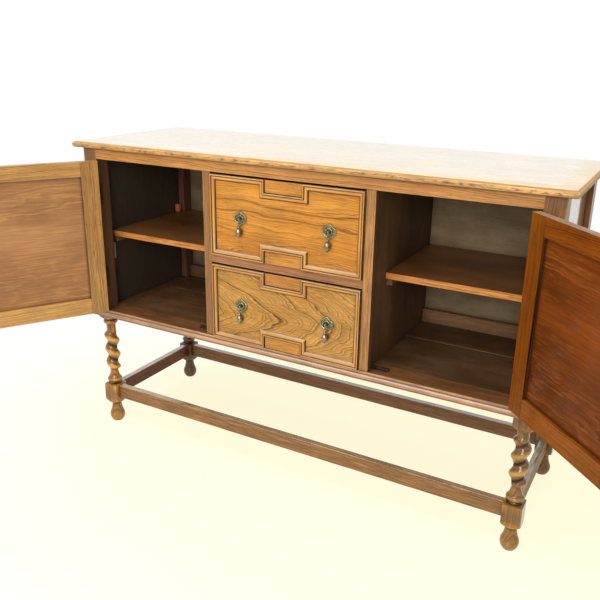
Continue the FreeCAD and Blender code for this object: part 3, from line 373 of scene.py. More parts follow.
def oak(name, **changes):
    look = {**oakBase, **changes}
    material, wire = newMaterial(name)
    times, tint = wire.times, wire.tint
    place, along, joint = oakPlaces(wire, look)
    seeded = wire.vec("ADD", along, tuple(part * look["seed"] for part in grainLook["seedStep"]))
    noises = {kind: wire.noise(seeded, *settings) for kind, settings in grainNoise.items()}
    band = oakLines(wire, look, along, noises)
    streak, tone, blotch = (noises[kind][0] for kind in ("streak", "tone", "blotch"))

    def step(kind, value):
        return wire.fade(value, *grainFades[kind])

    pore = step("pore", noises["pore"][0])
    fleck = step("fleck", noises["fleck"][0])

    # zones, each in two shades of its tone; the strong ones are without polish
    zones = []
    dull = None
    spots = dict(zip("xyzXYZ", [*wire.split(wire.vec("ABSOLUTE", place)), *wire.split(place)]))
    for tests, stain, strength in look["zones"]:
        inside = strength
        for axis, sense, limit in tests:
            test = wire.calc("LESS_THAN" if sense == "<" else "GREATER_THAN", spots[axis], limit)
            inside = times(inside, test)
        shade = tint(step("zone", streak), paint(*dimmed(stain, grainLook["zoneDark"])), stain)
        zones.append((inside, strength, shade))
        if strength > grainLook["dullFrom"]:
            dull = inside if dull is None else wire.calc("MAXIMUM", dull, inside)

    # colour: two tones of stain, the zones, dark ring lines, pores most of all in the lines, fine streaks
    colour = tint(step("stain", tone), paint(*look["light"]), look["middle"])
    for inside, strength, shade in zones:
        if strength < 1.0:
            colour = wire.blend(inside, colour, shade)
    colour = tint(times(band, look["figure"], clamp=True), colour, look["dark"])
    inLine = times(pore, wire.calc("MULTIPLY_ADD", band, *grainLook["poreInLine"]))
    colour = tint(times(inLine, look["pores"], clamp=True), colour, look["dark"])
    inPatch = times(fleck, step("fleckPatch", tone))
    colour = tint(times(inPatch, look["flecks"], clamp=True), colour, look["dark"])
    colour = wire.shaded(look["streaks"], colour, step("fineStreak", streak))
    colour = wire.shaded(grainLook["cloud"], colour, step("cloud", blotch))
    if look["edge"]:
        # wear: the middle one of the three distances to the board's sides is that to its nearest edge
        low, high = look["edge"]
        below = wire.vec("SUBTRACT", place, tuple(low))
        above = wire.vec("SUBTRACT", tuple(high), place)
        one, two, three = wire.split(wire.vec("MINIMUM", below, above))
        near = wire.calc("MAXIMUM", wire.calc("MINIMUM", one, two),
                         wire.calc("MINIMUM", wire.calc("MAXIMUM", one, two), three))
        ragged = times(step("ragged", blotch), look["wearWidth"])
        worn = wire.calc("SUBTRACT", 1.0, wire.calc("DIVIDE", near, ragged), clamp=True)
        colour = tint(times(worn, look["wearShare"]), colour, look["wear"])
    if look["recess"]:
        # the surface darkens where it is hollow, with grime and, on the mouldings and the top's step,
        # painted shade; where it stands proud the grime rubs off
        hollow = wire.add("Attribute", attribute_name="hollow").outputs["Fac"]
        proud = wire.add("Attribute", attribute_name="proud").outputs["Fac"]
        dirtAndShade = times(hollow, step("grime", blotch), clamp=True)
        colour = tint(times(dirtAndShade, look["recess"]), colour, look["grime"])
        patches = step("rubbed", blotch)
        if look["specks"]:
            patches = step("specks", wire.noise(seeded, look["specks"], *grainLook["specks"])[0])
        rubbed = times(proud, patches, clamp=True)
        colour = tint(times(rubbed, look["wearShare"]), colour, look["wear"])
    if joint is not None:
        colour = tint(times(joint, grainLook["joint"]), colour, look["grime"])
    for inside, strength, shade in zones:
        if strength == 1.0:
            colour = wire.blend(inside, colour, shade)
    if look["dust"]:
        colour = tint(times(step("dust", blotch), look["dust"][1]), colour, look["dust"][0])
    if look["bloom"]:
        # pale dust and painted sheen on whatever faces up
        facing = wire.split(wire.add("NewGeometry").outputs["Normal"])[2]
        share = times(step("upward", facing), step("bloom", blotch))
        colour = tint(times(share, look["bloom"][1]), colour, look["bloom"][0])
    if look["crevice"]:
        # painted shade, with dirt, in the crevices: the nearer the surfaces around, the darker
        exposed = wire.add("AmbientOcclusion", {"Distance": look["creviceReach"]}, samples=4).outputs["AO"]
        dirtAndShade = times(step("exposed", exposed), step("crevice", blotch))
        colour = tint(times(dirtAndShade, look["crevice"], clamp=True), colour, look["grime"])

    # polish: thin in the hollows, none on the dull zones
    polish = look["coat"]
    matt = wire.calc("MULTIPLY_ADD", pore, grainLook["poreMatt"], look["rough"])
    if look["recess"]:
        sunk = step("sunk", hollow)
        thinned = -grainLook["thinPolish"] * look["coat"]
        polish = wire.calc("MULTIPLY_ADD", sunk, thinned, look["coat"], clamp=True)
        matt = wire.calc("MULTIPLY_ADD", sunk, grainLook["sunkMatt"], matt)
    if dull is not None:
        polish = times(wire.calc("SUBTRACT", 1.0, dull), polish)
        matt = wire.calc("MULTIPLY_ADD", dull, grainLook["dullMatt"], matt)
    uneven = wire.calc("SUBTRACT", blotch, 0.5)
    matt = wire.calc("MULTIPLY_ADD", uneven, grainLook["blotchMatt"], matt, clamp=True)
    relief = wire.calc("ADD", times(pore, grainLook["poreDepth"]), times(band, grainLook["lineDepth"]))
    relief = wire.calc("ADD", relief, times(blotch, grainLook["blotchDepth"]))
    wire.surface(relief, look["bump"], grainLook["relief"],
                 {"Base Color": colour, "Roughness": matt, "Specular IOR Level": look["gloss"],
                  "Coat Weight": polish, "Coat Roughness": look["coatRough"], "Coat IOR": look["coatIor"]})
    return material


brassLook = {"blotch": ((220, 220, 220), 4.0, 0.65), "fine": (1500, 1500, 1500), "reach": 4 * mm,
             "crevice": (0.35, 0.80, 0.9, 0.0), "creviceDark": 0.28, "mattSpread": 0.3, "bump": 0.2,
             "relief": 0.15 * mm, "fineDepth": 0.4}


def brass(name, bright, tarnish, rough, share, metal=1.0):
    # metal: bright where it is handled, tarnish in blotches, tarnish and painted shade in the hollows
    material, wire = newMaterial(name)
    place = wire.add("TexCoord").outputs["Object"]
    blotch = wire.noise(place, *brassLook["blotch"])[0]
    fine = wire.noise(place, brassLook["fine"])[0]
    colour = wire.tint(wire.fade(blotch, 0.5 - 0.5 * share, 0.95 - 0.4 * share), paint(*bright), tarnish)
    # painted shade and tarnish: darker where surfaces lie near
    clear = wire.add("AmbientOcclusion", {"Distance": brassLook["reach"]}, samples=4).outputs["AO"]
    dark = dimmed(tarnish, brassLook["creviceDark"])
    colour = wire.tint(wire.fade(clear, *brassLook["crevice"]), colour, dark)
    spread = brassLook["mattSpread"]
    matt = wire.calc("MULTIPLY_ADD", blotch, spread, rough - spread / 2, clamp=True)
    relief = wire.calc("MULTIPLY_ADD", fine, brassLook["fineDepth"], blotch)
    wire.surface(relief, brassLook["bump"], brassLook["relief"],
                 {"Base Color": colour, "Metallic": metal, "Roughness": matt})
    return material


# legs: a turning clipped square at its blocks, with a twist between

def swelling(start, end, bulge, steps):
    # points along a chord, pushed sideways by bulge times 4 s (1 - s)
    share = np.linspace(0, 1, steps + 1)[1:, None]
    chord = np.subtract(end, start)
    side = np.array([chord[1], -chord[0]]) / np.hypot(*chord)
    return np.asarray(start) + share * chord + 4 * bulge * share * (1 - share) * side


# radius and level, in millimetres, from the floor to the twist
legFoot = np.vstack([[(14.6, 0), (15.75, 0.7)], swelling((15.75, 0.7), (20.9, 31), 4.5, 14),
                     swelling((20.9, 31), (14.4, 62), -1.6, 12), swelling((14.4, 62), (36, 80), 0.7, 26),
                     [(36, 105), (36, 129.6), (35.2, 130), (18.5, 132.6)],
                     swelling((17.9, 133), (17.9, 139), 1.8, 8),
                     swelling((17.9, 139.1), (17.9, 153), 4.4, 14),
                     swelling((17.9, 153.2), (12.2, 173), -1.0, 12)])
legLook = {"columns": 80, "block": 24.0, "corner": 18, "clip": 60.0, "roundShare": 0.8, "twistLow": 174.0,
           "twistHigh": 312.0, "twistRows": 110, "pitch": 46.0, "strand": 18.2, "offset": 4.4, "fade": 15.0,
           "necks": (12.2, 13.8), "bead": (334.0, 349.0, 3.9), "blockLow": 353.6, "top": 365.5,
           "deepBlock": {"front_right_leg": ((326.0, 332.0, 3.0), 333.5)},
           "legs": {"front_left_leg": (-631.0, -193.5, -1, 107), "front_right_leg": (631.0, -193.5, 1, 283),
                    "rear_left_leg": (-631.0, 187.5, -1, 60), "rear_right_leg": (631.0, 187.5, 1, 120)}}
legWear = {"average": 5.0, "hollowDepth": 2.6, "hollowFrom": 0.1, "proudDepth": 3.5, "grooveFrom": 0.64,
           "ridgeTo": 0.55, "ridgeSpan": 0.45, "flank": 0.52, "shoulder": 0.35, "slope": 0.5,
           "slopeFrom": 0.15, "leastRise": 0.05, "twistFrom": 0.3}


def legHead(beadLow, beadHigh, bulge, blockLow, top):
    # radius and level from the twist to the base: neck, bead and the upper block's shoulder
    return np.vstack([[(13.8, 313.5), (13.8, beadLow - 8), (14.2, beadLow - 2.5), (16.6, beadLow - 0.4)],
                      swelling((17.7, beadLow), (17.7, beadHigh), bulge, 14),
                      [(18.4, beadHigh + 0.6), (25, blockLow), (29.5, blockLow + 2), (33, blockLow + 5),
                       (36, blockLow + 9), (36, top)]])


def makeLeg(name, x, y, hand, startAngle, look, wear, finish):
    # in the twist a round section whose centre circles the axis once a pitch
    bead, blockLow = look["deepBlock"].get(name, (look["bead"], look["blockLow"]))
    head = legHead(*bead, blockLow, look["top"])
    level = np.linspace(look["twistLow"], look["twistHigh"], look["twistRows"])
    ease = np.minimum(1, np.minimum(level - look["twistLow"], look["twistHigh"] - level) / look["fade"])
    ease = ease * ease * (3 - 2 * ease)
    neck = np.where(level < level.mean(), *look["necks"])
    twist = np.column_stack([neck + (look["strand"] - neck) * ease, level])
    turn = math.radians(startAngle) + hand * 2 * math.pi * (level - look["twistLow"]) / look["pitch"]
    twistRows = slice(len(legFoot), len(legFoot) + len(twist))
    sway = np.zeros((len(legFoot) + len(twist) + len(head), 2))
    sway[twistRows] = (look["offset"] * ease * np.array([np.cos(turn), np.sin(turn)])).T
    radius, level = np.vstack([legFoot, twist, head]).T
    angle = circle(look["columns"])
    power, clip = look["corner"], look["clip"]
    square = look["block"] / (np.abs(np.cos(angle)) ** power + np.abs(np.sin(angle)) ** power) ** (1 / power)
    clipped = (radius[:, None] ** -clip + square[None, :] ** -clip) ** (-1 / clip)
    clipped = np.where(radius[:, None] < look["roundShare"] * look["block"], radius[:, None], clipped)
    points = np.stack([clipped * np.cos(angle) + sway[:, :1], clipped * np.sin(angle) + sway[:, 1:],
                       np.broadcast_to(level[:, None], clipped.shape)], axis=-1)

    # hollow and proud: how far the surface lies inside or outside its own average over a little height
    reach = np.hypot(points[..., 0], points[..., 1])
    rise = np.gradient(level)
    weight = np.exp(-0.5 * ((level[:, None] - level[None, :]) / wear["average"]) ** 2) * rise[None, :]
    average = (weight @ reach) / weight.sum(axis=1, keepdims=True)
    hollow = np.clip((average - reach) / wear["hollowDepth"] - wear["hollowFrom"], 0, 1)
    proud = np.clip((reach - average) / wear["proudDepth"], 0, 1)
    # the twist's groove is where the surface lies nearest the axis; dark polish gathers on upward flanks
    inTwist = np.zeros((len(level), 1))
    inTwist[twistRows, 0] = ease
    depth = (look["strand"] + look["offset"] - reach) / (2 * look["offset"])
    slope = -np.gradient(reach, axis=0) / np.maximum(rise, wear["leastRise"])[:, None]
    upward = np.clip(slope / wear["slope"] - wear["slopeFrom"], 0, 1)
    groove = np.clip((depth - wear["grooveFrom"]) / (1 - wear["grooveFrom"]), 0, 1)
    groove = np.maximum(groove, wear["flank"] * upward)
    hollow = np.maximum(np.maximum(hollow, wear["shoulder"] * upward) * (1 - inTwist), groove * inTwist)
    ridge = np.clip((wear["ridgeTo"] - depth) / wear["ridgeSpan"], 0, 1) * (1 - upward)
    proud = np.where(inTwist > wear["twistFrom"], ridge, proud)
    faces = gridQuads(*clipped.shape, wrapColumns=True).tolist() + endFaces(*clipped.shape)
    points = points * mm + np.array([x, y, 0]) * mm
    return makePiece(name.replace("_leg", "_twistLeg"), points, faces, "case", [name], finish,
                     {"hollow": hollow, "proud": proud})


legOak = {"grain": "Z", "taper": 0.02, "warp": 0.006, "dark": (66, 40, 18), "figure": 0.65, "flecks": 0.7,
          "rough": 0.30, "coat": 0.75, "gloss": 0.12, "coatRough": 0.13, "recess": 0.95,
          "grime": (50, 29, 14), "wearShare": 0.85, "crevice": 0.6}
legTones = {"light": (208, 144, 62), "middle": (170, 108, 42), "wear": (252, 190, 80)}
legBlocks = {"tone": (150, 106, 66), "share": 0.5, "lower": (83 * mm, 131 * mm), "upper": 332 * mm}
# a share for each leg's tones; on the rear legs, under the case, it is painted shade
legShade = {"front_left_leg": 1.0, "front_right_leg": 0.82, "rear_left_leg": 0.55, "rear_right_leg": 0.75}
for name, (x, y, hand, startAngle) in legLook["legs"].items():
    tones = {key: dimmed(tone, legShade[name]) for key, tone in legTones.items()}
    blockTone = dimmed(legBlocks["tone"], legShade[name])
    low, high = legBlocks["lower"]
    zones = [zone(blockTone, legBlocks["share"], ("z", ">", low), ("z", "<", high)),
             zone(blockTone, legBlocks["share"], ("z", ">", legBlocks["upper"]))]
    finish = oak(name + "Oak", seed=abs(x + y) / 97, heart=(y * mm + 0.06, -x * mm + 0.05), zones=zones,
                 **legOak, **tones)
    makeLeg(name, x, y, hand, startAngle, legLook, legWear, finish)
print("legs made")


# mouldings: a profile carried along a path, mitred at its right-angled corners

def curveThrough(first, middle, last, steps):
    # parabola through three points, without its first
    share = np.linspace(0, 1, steps + 1)[1:, None]
    handle = 2 * np.asarray(middle) - (np.asarray(first) + np.asarray(last)) / 2
    return (1 - share) ** 2 * first + 2 * share * (1 - share) * handle + share ** 2 * np.asarray(last)


def hump(value, centre, width):
    return np.exp(-((value - centre) / width) ** 2)


def eased(profile, cut):
    # each corner of a closed profile gives way to three points, a small round
    before = np.roll(profile, 1, axis=0) - profile
    after = np.roll(profile, -1, axis=0) - profile
    lengthBefore = np.linalg.norm(before, axis=1, keepdims=True)
    lengthAfter = np.linalg.norm(after, axis=1, keepdims=True)
    start = profile + before / lengthBefore * np.minimum(cut, 0.4 * lengthBefore)
    end = profile + after / lengthAfter * np.minimum(cut, 0.4 * lengthAfter)
    middle = 0.25 * start + 0.5 * profile + 0.25 * end
    return np.stack([start, middle, end], axis=1).reshape(-1, 2)


def carried(path, inward, profile, closed, lift):
    # point (i, j): corner i, plus the profile's inward share along both runs that meet there, plus its lift
    runs = len(path) if closed else len(path) - 1
    runInward = np.asarray(inward, float)[:runs]
    if closed:
        cornerInward = runInward + np.roll(runInward, 1, axis=0)
        cornerInward = np.where(np.abs(cornerInward) > 1.5, cornerInward / 2, cornerInward)
    else:
        cornerInward = np.vstack([runInward[:1], runInward[1:] + runInward[:-1], runInward[-1:]])
    return (np.asarray(path)[:, None, :] + profile[None, :, :1] * cornerInward[:, None, :]
            + profile[None, :, 1:] * np.asarray(lift, float))


def runPlaces(points, profile, closed, seed):
    # grain runs along each length: distance along the run, then the profile's own two sizes
    quads = gridQuads(*points.shape[:2], wrapRows=closed, wrapColumns=True)
    count = points.shape[1]
    run = quads[:, 0] // count
    column = quads % count
    start = points[run, 0]
    heading = unit(points[(run + 1) % len(points), 0] - start)
    offset = points[quads // count, column] - start[:, None]
    distance = (offset * heading[:, None]).sum(axis=2) + 0.37 * (run[:, None] + 1) + seed
    return quads, np.stack([distance, profile[column, 0] + 0.05 * run[:, None], profile[column, 1]], axis=-1)


def roundedBoard(low, high, cut):
    # box points pushed onto a rounded box: nearest point of the inner box plus cut along the way out
    low, high = np.asarray(low, float), np.asarray(high, float)
    points, faces = [], []
    insets = np.array([0, 0.4, 1]) * cut
    for axis in range(3):
        u, v = [a for a in range(3) if a != axis]
        lines = [np.concatenate([low[a] + insets, high[a] - insets[::-1]]) for a in (u, v)]
        gridU, gridV = np.meshgrid(*lines, indexing="ij")
        for side, level in enumerate((low[axis], high[axis])):
            patch = np.empty((*gridU.shape, 3))
            patch[..., u], patch[..., v], patch[..., axis] = gridU, gridV, level
            inner = np.clip(patch, low + cut, high - cut)
            patch = inner + cut * unit(patch - inner)
            quads = gridQuads(*gridU.shape, start=gridU.size * len(points))
            outward = (side == 1) != (axis == 1)
            faces.append(quads if outward else quads[:, ::-1])
            points.append(patch.reshape(-1, 3))
    return np.vstack(points), np.vstack(faces)


mouldingLook = {"width": 15.0, "height": 7.0, "tabHalf": 53.0, "tabPlay": 2.0, "tabHeight": 31.0,
                "tabThick": 3.5, "tabCut": 0.5, "cut": 0.35}
mouldingWear = {"quirk": (0.27, 0.09), "quirkOut": 0.3, "foot": 0.68, "footSpan": 0.24, "rim": (0.10, 0.95),
                "bead": (0.12, 0.08), "crown": (0.56, 0.13), "crownShare": 0.7, "proudOut": 0.2,
                "tabFoot": 0.8, "tabEdge": 0.3, "tabShare": 0.4, "tabStart": 2.3}
mouldingShape = np.vstack([[(0, 0), (0, 0.9), (0.05, 1), (0.20, 1), (0.24, 0.62), (0.30, 0.62)],
                           curveThrough((0.30, 0.74), (0.66, 0.72), (0.95, 0.2), 9), [(1, 0)]])


def steppedFrame(halfWidth, low, high, look):
    # round the front, stepping in about a small block at the top and the bottom; inward normal of each run
    tab = look["tabHalf"] + look["tabPlay"]
    deep = look["tabHeight"] + look["tabPlay"]
    upper = [(-halfWidth, high), (-tab, high), (-tab, high - deep)]
    upper += [(-x, z) for x, z in upper[::-1]]
    lower = [(-x, low + high - z) for x, z in upper]
    path = np.array([(x, 0, z) for x, z in upper + lower])
    ahead = unit(np.roll(path, -1, axis=0) - path)
    return path, np.column_stack([ahead[:, 2], np.zeros(len(path)), -ahead[:, 0]])


def mouldingPiece(name, halfWidth, low, high, toFrame, body, finish, look, wear):
    profile = eased(mouldingShape * (look["width"], look["height"]), look["cut"])
    path, inward = steppedFrame(halfWidth, low, high, look)
    points = carried(path, inward, profile, True, (0, -1, 0))
    quads, places = runPlaces(points * mm, profile * mm, True, halfWidth / 100)
    # painted shade and grime in the quirk, at the inner foot and on the outer edge; wear on the two crowns
    share = profile[:, 0] / look["width"]
    out = profile[:, 1] / look["height"]
    quirk = hump(share, *wear["quirk"]) * (out > wear["quirkOut"])
    foot = np.clip((share - wear["foot"]) / wear["footSpan"], 0, 1)
    rim = (share < wear["rim"][0]) * (out < wear["rim"][1])
    hollow = np.clip(quirk + foot + rim, 0, 1)
    crowns = hump(share, *wear["bead"]) + wear["crownShare"] * hump(share, *wear["crown"])
    proud = np.clip(crowns, 0, 1) * (out > wear["proudOut"])
    allPoints, allFaces = [points.reshape(-1, 3)], quads.tolist()
    allPlaces = [places.reshape(-1, 3)]
    hollows, prouds = ([np.broadcast_to(value, points.shape[:2]).ravel()] for value in (hollow, proud))
    for block, level in enumerate((low, high - look["tabHeight"])):
        tabPoints, tabFaces = roundedBoard((-look["tabHalf"], -look["tabThick"], level),
                                           (look["tabHalf"], 0.0, level + look["tabHeight"]), look["tabCut"])
        allFaces += (tabFaces + sum(map(len, allPoints))).tolist()
        grain = tabPoints[tabFaces].reshape(-1, 3)[:, [0, 2, 1]] * mm
        allPlaces.append(grain + (wear["tabStart"] + block, 0, 0))
        above = tabPoints[:, 2] - level
        nearEnd = look["tabHalf"] - np.abs(tabPoints[:, 0])
        nearEdge = np.minimum(nearEnd, np.minimum(above, look["tabHeight"] - above))
        # painted shade and grime along the block's foot, where it meets the field
        hollows.append((tabPoints[:, 1] > -wear["tabFoot"]).astype(float))
        prouds.append(wear["tabShare"] * (nearEdge < wear["tabEdge"]))
        allPoints.append(tabPoints)
    points = placed(np.vstack(allPoints) * mm, toFrame)
    return makePiece(name, points, allFaces, body, [body + "_moulding"], finish,
                     {"hollow": np.concatenate(hollows), "proud": np.concatenate(prouds)},
                     {"boardPlace": np.vstack(allPlaces)})


def moved(x, y, z):
    # shift in millimetres
    place = np.eye(4)
    place[:3, 3] = np.array([x, y, z]) * mm
    return place


drawerLook = {"face": -216.5, "upper": (621.5, 837.0), "lower": (386.8, 596.2), "half": 218.5, "inset": 1.0}
doorLook = {"left": {"side": -1, "open": -121.0}, "right": {"side": 1, "open": 134.0},
            "pin": (614.0, -221.3), "face": 4.8, "panelSet": 4.0, "width": 367.0, "near": 1.0,
            "stile": 48.5, "low": 391.5, "high": 839.0, "bottomRail": 46.5, "topRail": 42.0}
doorInner = doorLook["near"] + doorLook["stile"]
doorOuter = doorLook["width"] - doorLook["stile"]
mouldingOak = {"attribute": True, "ringGap": 3.2 * mm, "heart": (0.02, 0.05), "taper": 0.02, "warp": 0.004,
               "figure": 0.4, "pores": 0.5, "flecks": 0.7, "light": (228, 156, 58),
               "middle": (196, 124, 40), "dark": (86, 50, 22), "rough": 0.30, "coat": 0.4,
               "coatRough": 0.14, "gloss": 0.3, "recess": 1.0, "grime": (50, 36, 30),
               "wear": (248, 190, 112), "wearShare": 0.6, "crevice": 0.95, "creviceReach": 8 * mm,
               # pale dust with painted sheen on the up-facing runs
               "bloom": ((242, 218, 182), 0.6)}


def doorPlace(label):
    # from the door's own frame, pin at the origin and the door shut along x, to where it stands open
    place = moved(doorLook[label]["side"] * doorLook["pin"][0], doorLook["pin"][1], 0)
    place[:3, :3] = Matrix.Rotation(math.radians(doorLook[label]["open"]), 3, "Z")
    return place


for label, seed in (("upper", 3.1), ("lower", 5.7)):
    low, high = drawerLook[label]
    inset = drawerLook["inset"]
    finish = oak(label + "MouldingOak", seed=seed, **mouldingOak)
    mouldingPiece(label + "DrawerMoulding", drawerLook["half"], inset, high - low - inset,
                  moved(0, drawerLook["face"], low), label + "_drawer", finish, mouldingLook, mouldingWear)
for label, seed in (("left", 7.3), ("right", 9.2)):
    tall = doorLook["high"] - doorLook["topRail"] - doorLook["low"] - doorLook["bottomRail"]
    shift = moved(-doorLook[label]["side"] * (doorInner + doorOuter) / 2,
                  doorLook["face"] + doorLook["panelSet"], doorLook["low"] + doorLook["bottomRail"])
    finish = oak(label + "DoorMouldingOak", seed=seed, **mouldingOak)
    mouldingPiece(label + "DoorMoulding", (doorOuter - doorInner) / 2, 0.0, tall, doorPlace(label) @ shift,
                  label + "_door", finish, mouldingLook, mouldingWear)
print("drawer and door mouldings made")


# base moulding and top: profiles carried round three sides of the case

caseLook = {"half": 660.0, "front": -217.5, "back": 217.5, "baseLow": 365.5, "baseHeight": 21.0,
            "baseReach": 10.0, "baseCut": 0.4, "topLow": 871.0, "topHigh": 889.0, "topSide": 25.0,
            "topFront": 18.0, "topBack": 14.0, "nose": 6.0, "noseSteps": 13, "step": 2.5, "stepSet": 8.0,
            "field": 60.0}
baseShape = np.vstack([[(0, 0), (0.75, 0), (0.75, 0.2), (1, 0.24)],
                       curveThrough((1, 0.24), (0.9, 0.48), (0.55, 0.66), 9),
                       [(0.4, 0.68), (0.4, 1), (0, 1)]])
baseWear = {"fillet": (0.69, 0.035), "foot": (0.20, 0.05), "footShare": 0.8, "edge": (0.97, 0.10),
            "swell": (0.36, 0.12), "swellShare": 0.6, "out": 0.3, "grainStart": 1.9}


def threeSides(side, forward, backward, look):
    x, yFront, yBack = look["half"] + side, look["front"] - forward, look["back"] + backward
    path = np.array([(-x, yBack, 0), (-x, yFront, 0), (x, yFront, 0), (x, yBack, 0)])
    return path, np.array([(1, 0, 0), (0, 1, 0), (-1, 0, 0)])


def makeBaseMoulding(look, wear, finish):
    profile = eased(baseShape * (-look["baseReach"], look["baseHeight"]), look["baseCut"])
    path, inward = threeSides(0, 0, 0, look)
    points = carried(path + (0, 0, look["baseLow"]), inward, profile, False, (0, 0, 1))
    quads, places = runPlaces(points * mm, profile * mm, False, wear["grainStart"])
    # painted shade and grime under the upper fillet and over the lower one; wear on the upper edge and the
    # swelling
    level = profile[:, 1] / look["baseHeight"]
    out = -profile[:, 0] / look["baseReach"]
    hollow = hump(level, *wear["fillet"]) + wear["footShare"] * hump(level, *wear["foot"])
    proud = hump(level, *wear["edge"]) + wear["swellShare"] * hump(level, *wear["swell"])
    hollow = np.clip(hollow, 0, 1)
    proud = np.clip(proud, 0, 1) * (out > wear["out"])
    corners, count = points.shape[:2]
    ends = endFaces(corners, count)
    endPlaces = [(points.reshape(-1, 3)[end] * mm)[:, [1, 0, 2]] for end in ends]
    faces = quads.tolist() + ends
    makePiece("baseMoulding", points * mm, faces, "case", ["base_moulding"], finish,
              {"hollow": np.tile(hollow, corners), "proud": np.tile(proud, corners)},
              {"boardPlace": np.vstack([places.reshape(-1, 3), *endPlaces])})


def makeTop(look, finish):
    # bottom, rounded nose, step and face, as one run of points from under the board to its upper face
    nose, step, stepSet, field = look["nose"], look["step"], look["stepSet"], look["field"]
    low, high = look["topLow"], look["topHigh"]
    middle = (low + high - step) / 2
    halfDepth = (high - step - low) / 2
    bow = (halfDepth ** 2 + nose ** 2) / (2 * nose)
    arc = np.linspace(-1, 1, look["noseSteps"])[:, None] * halfDepth
    noseArc = np.hstack([nose - (np.sqrt(bow ** 2 - arc ** 2) - (bow - nose)), middle + arc])
    profile = np.vstack([[(field, low), (nose + 0.8, low)], noseArc,
                         [(stepSet - 0.5, high - step), (stepSet, high - step + 0.25),
                          (stepSet + step - 0.5, high - 0.3), (stepSet + step, high), (field, high)]])
    path, inward = threeSides(look["topSide"], look["topFront"], look["topBack"], look)
    points = carried(path, inward, profile, False, (0, 0, 1))
    count, corners = len(profile), len(path)
    corner = np.arange(corners) * count
    back = list(range(count)) + list(range(corners * count - 1, (corners - 1) * count - 1, -1))
    faces = gridQuads(corners, count).tolist() + [(corner + count - 1).tolist(), corner[::-1].tolist(), back]
    level = points[..., 2]
    makePiece("topBoard", points * mm, faces, "case", ["top_board"], finish,
              {"hollow": hump(level, high - step, 0.6), "proud": hump(level, middle, 4.0)})


baseOak = oak("baseMouldingOak", attribute=True, seed=1.3, ringGap=3.5 * mm, heart=(0.03, 0.06), taper=0.012,
              warp=0.004, figure=0.5, light=(186, 128, 72), middle=(152, 98, 52), dark=(70, 44, 24),
              rough=0.26, coat=1.0, coatRough=0.08, coatIor=1.6, recess=1.0, grime=(46, 30, 20),
              # pale dust with painted sheen on the upper curve
              wear=(252, 176, 78), wearShare=0.85, bloom=((234, 206, 184), 0.5))
makeBaseMoulding(caseLook, baseWear, baseOak)
noseTop = (caseLook["topHigh"] - caseLook["step"] + 0.1) * mm
noseUnder = (caseLook["topLow"] + 1.2) * mm
# the nose in the wood's golden tone; under the board, painted shadow
topZones = [zone((236, 176, 94), 0.95, ("z", "<", noseTop)), zone((96, 62, 34), 0.8, ("z", "<", noseUnder))]
# the upper face's near-white tones are in part painted reflection; darker in the step's corner, painted
# shade and grime
topOak = oak("topOak", seed=2.2, heart=(0.03, -0.62), taper=0.014, warp=0.02, ringGap=6 * mm, figure=0.22,
             pores=0.5, flecks=0.2, streaks=0.3, light=(252, 226, 176), middle=(246, 214, 154),
             dark=(150, 104, 60), rough=0.24, coat=1.0, coatRough=0.05, coatIor=2.0, gloss=0.6,
             recess=0.35, grime=(150, 96, 54), wear=(92, 56, 28), wearShare=0.85, specks=(55, 190, 190),
             bump=0.1, crevice=0.0, zones=topZones)
makeTop(caseLook, topOak)
print("base moulding and top made")


# drop pulls: a turned pear on a slim shank under a flat ring

dropLook = {"columns": 28, "spanSteps": 5, "ring": 2.42, "ringWall": 0.76, "ringHalf": 1.55,
            "ringSteps": (24, 12), "sharp": 60,
            "stations": [(0.77, -49), (3.08, -46.1), (6.47, -40.2), (7.7, -34.3), (6.31, -28.9),
                         (2.5, -25.2), (1.92, -24.5), (3.2, -23.0), (3.7, -21.1), (3.2, -19.0),
                         (1.7, -17.8), (1.6, -10), (1.6, -2.6)]}
pullLook = {"boss": 11.0, "spacing": 128.0}
sides = {"left": -1, "right": 1}


def pullPlace(label, side, out=0.0):
    # on a drawer's front, or out from it
    return moved(side * pullLook["spacing"], drawerLook["face"] - out, np.mean(drawerLook[label]))


def doorPullPlace(label, out=0.0):
    # in the middle of a door's free stile, or out from it
    across = doorLook["width"] - doorLook["stile"] / 2
    return doorPlace(label) @ moved(-doorLook[label]["side"] * across, doorLook["face"] - out,
                                    (doorLook["low"] + doorLook["high"]) / 2)


def smoothed(stations, steps):
    # Catmull-Rom through the stations
    stations = np.asarray(stations, float)
    padded = np.vstack([2 * stations[0] - stations[1], stations, 2 * stations[-1] - stations[-2]])
    share = np.linspace(0, 1, steps, endpoint=False)[None, :, None]
    a, b, c, d = (padded[k:len(padded) - 3 + k, None, :] for k in range(4))
    spans = 0.5 * (2 * b + (c - a) * share + (2 * a - 5 * b + 4 * c - d) * share ** 2
                   + (3 * b - a - 3 * c + d) * share ** 3)
    return np.vstack([spans.reshape(-1, 2), stations[-1:]])


def makeDrop(name, place, body, node, finish, look):
    radius, level = smoothed(look["stations"], look["spanSteps"]).T
    rows, columns = len(level), look["columns"]
    angle = circle(columns)
    pear = np.stack([radius[:, None] * np.cos(angle), radius[:, None] * np.sin(angle),
                     np.broadcast_to(level[:, None], (rows, columns))], axis=-1)
    faces = gridQuads(rows, columns, wrapColumns=True).tolist() + endFaces(rows, columns)
    # ring: an oval section carried round the pin's axis
    round1, round2 = np.meshgrid(*map(circle, look["ringSteps"]), indexing="ij")
    reach = look["ring"] + look["ringWall"] * np.cos(round2)
    ring = np.stack([look["ringHalf"] * np.sin(round2), reach * np.sin(round1), reach * np.cos(round1)],
                    axis=-1)
    faces += gridQuads(*look["ringSteps"], True, True, start=rows * columns).tolist()
    points = placed(np.vstack([pear.reshape(-1, 3), ring.reshape(-1, 3)]) * mm, place)
    makePiece(name, points, faces, body, [node], finish, sharp=look["sharp"])


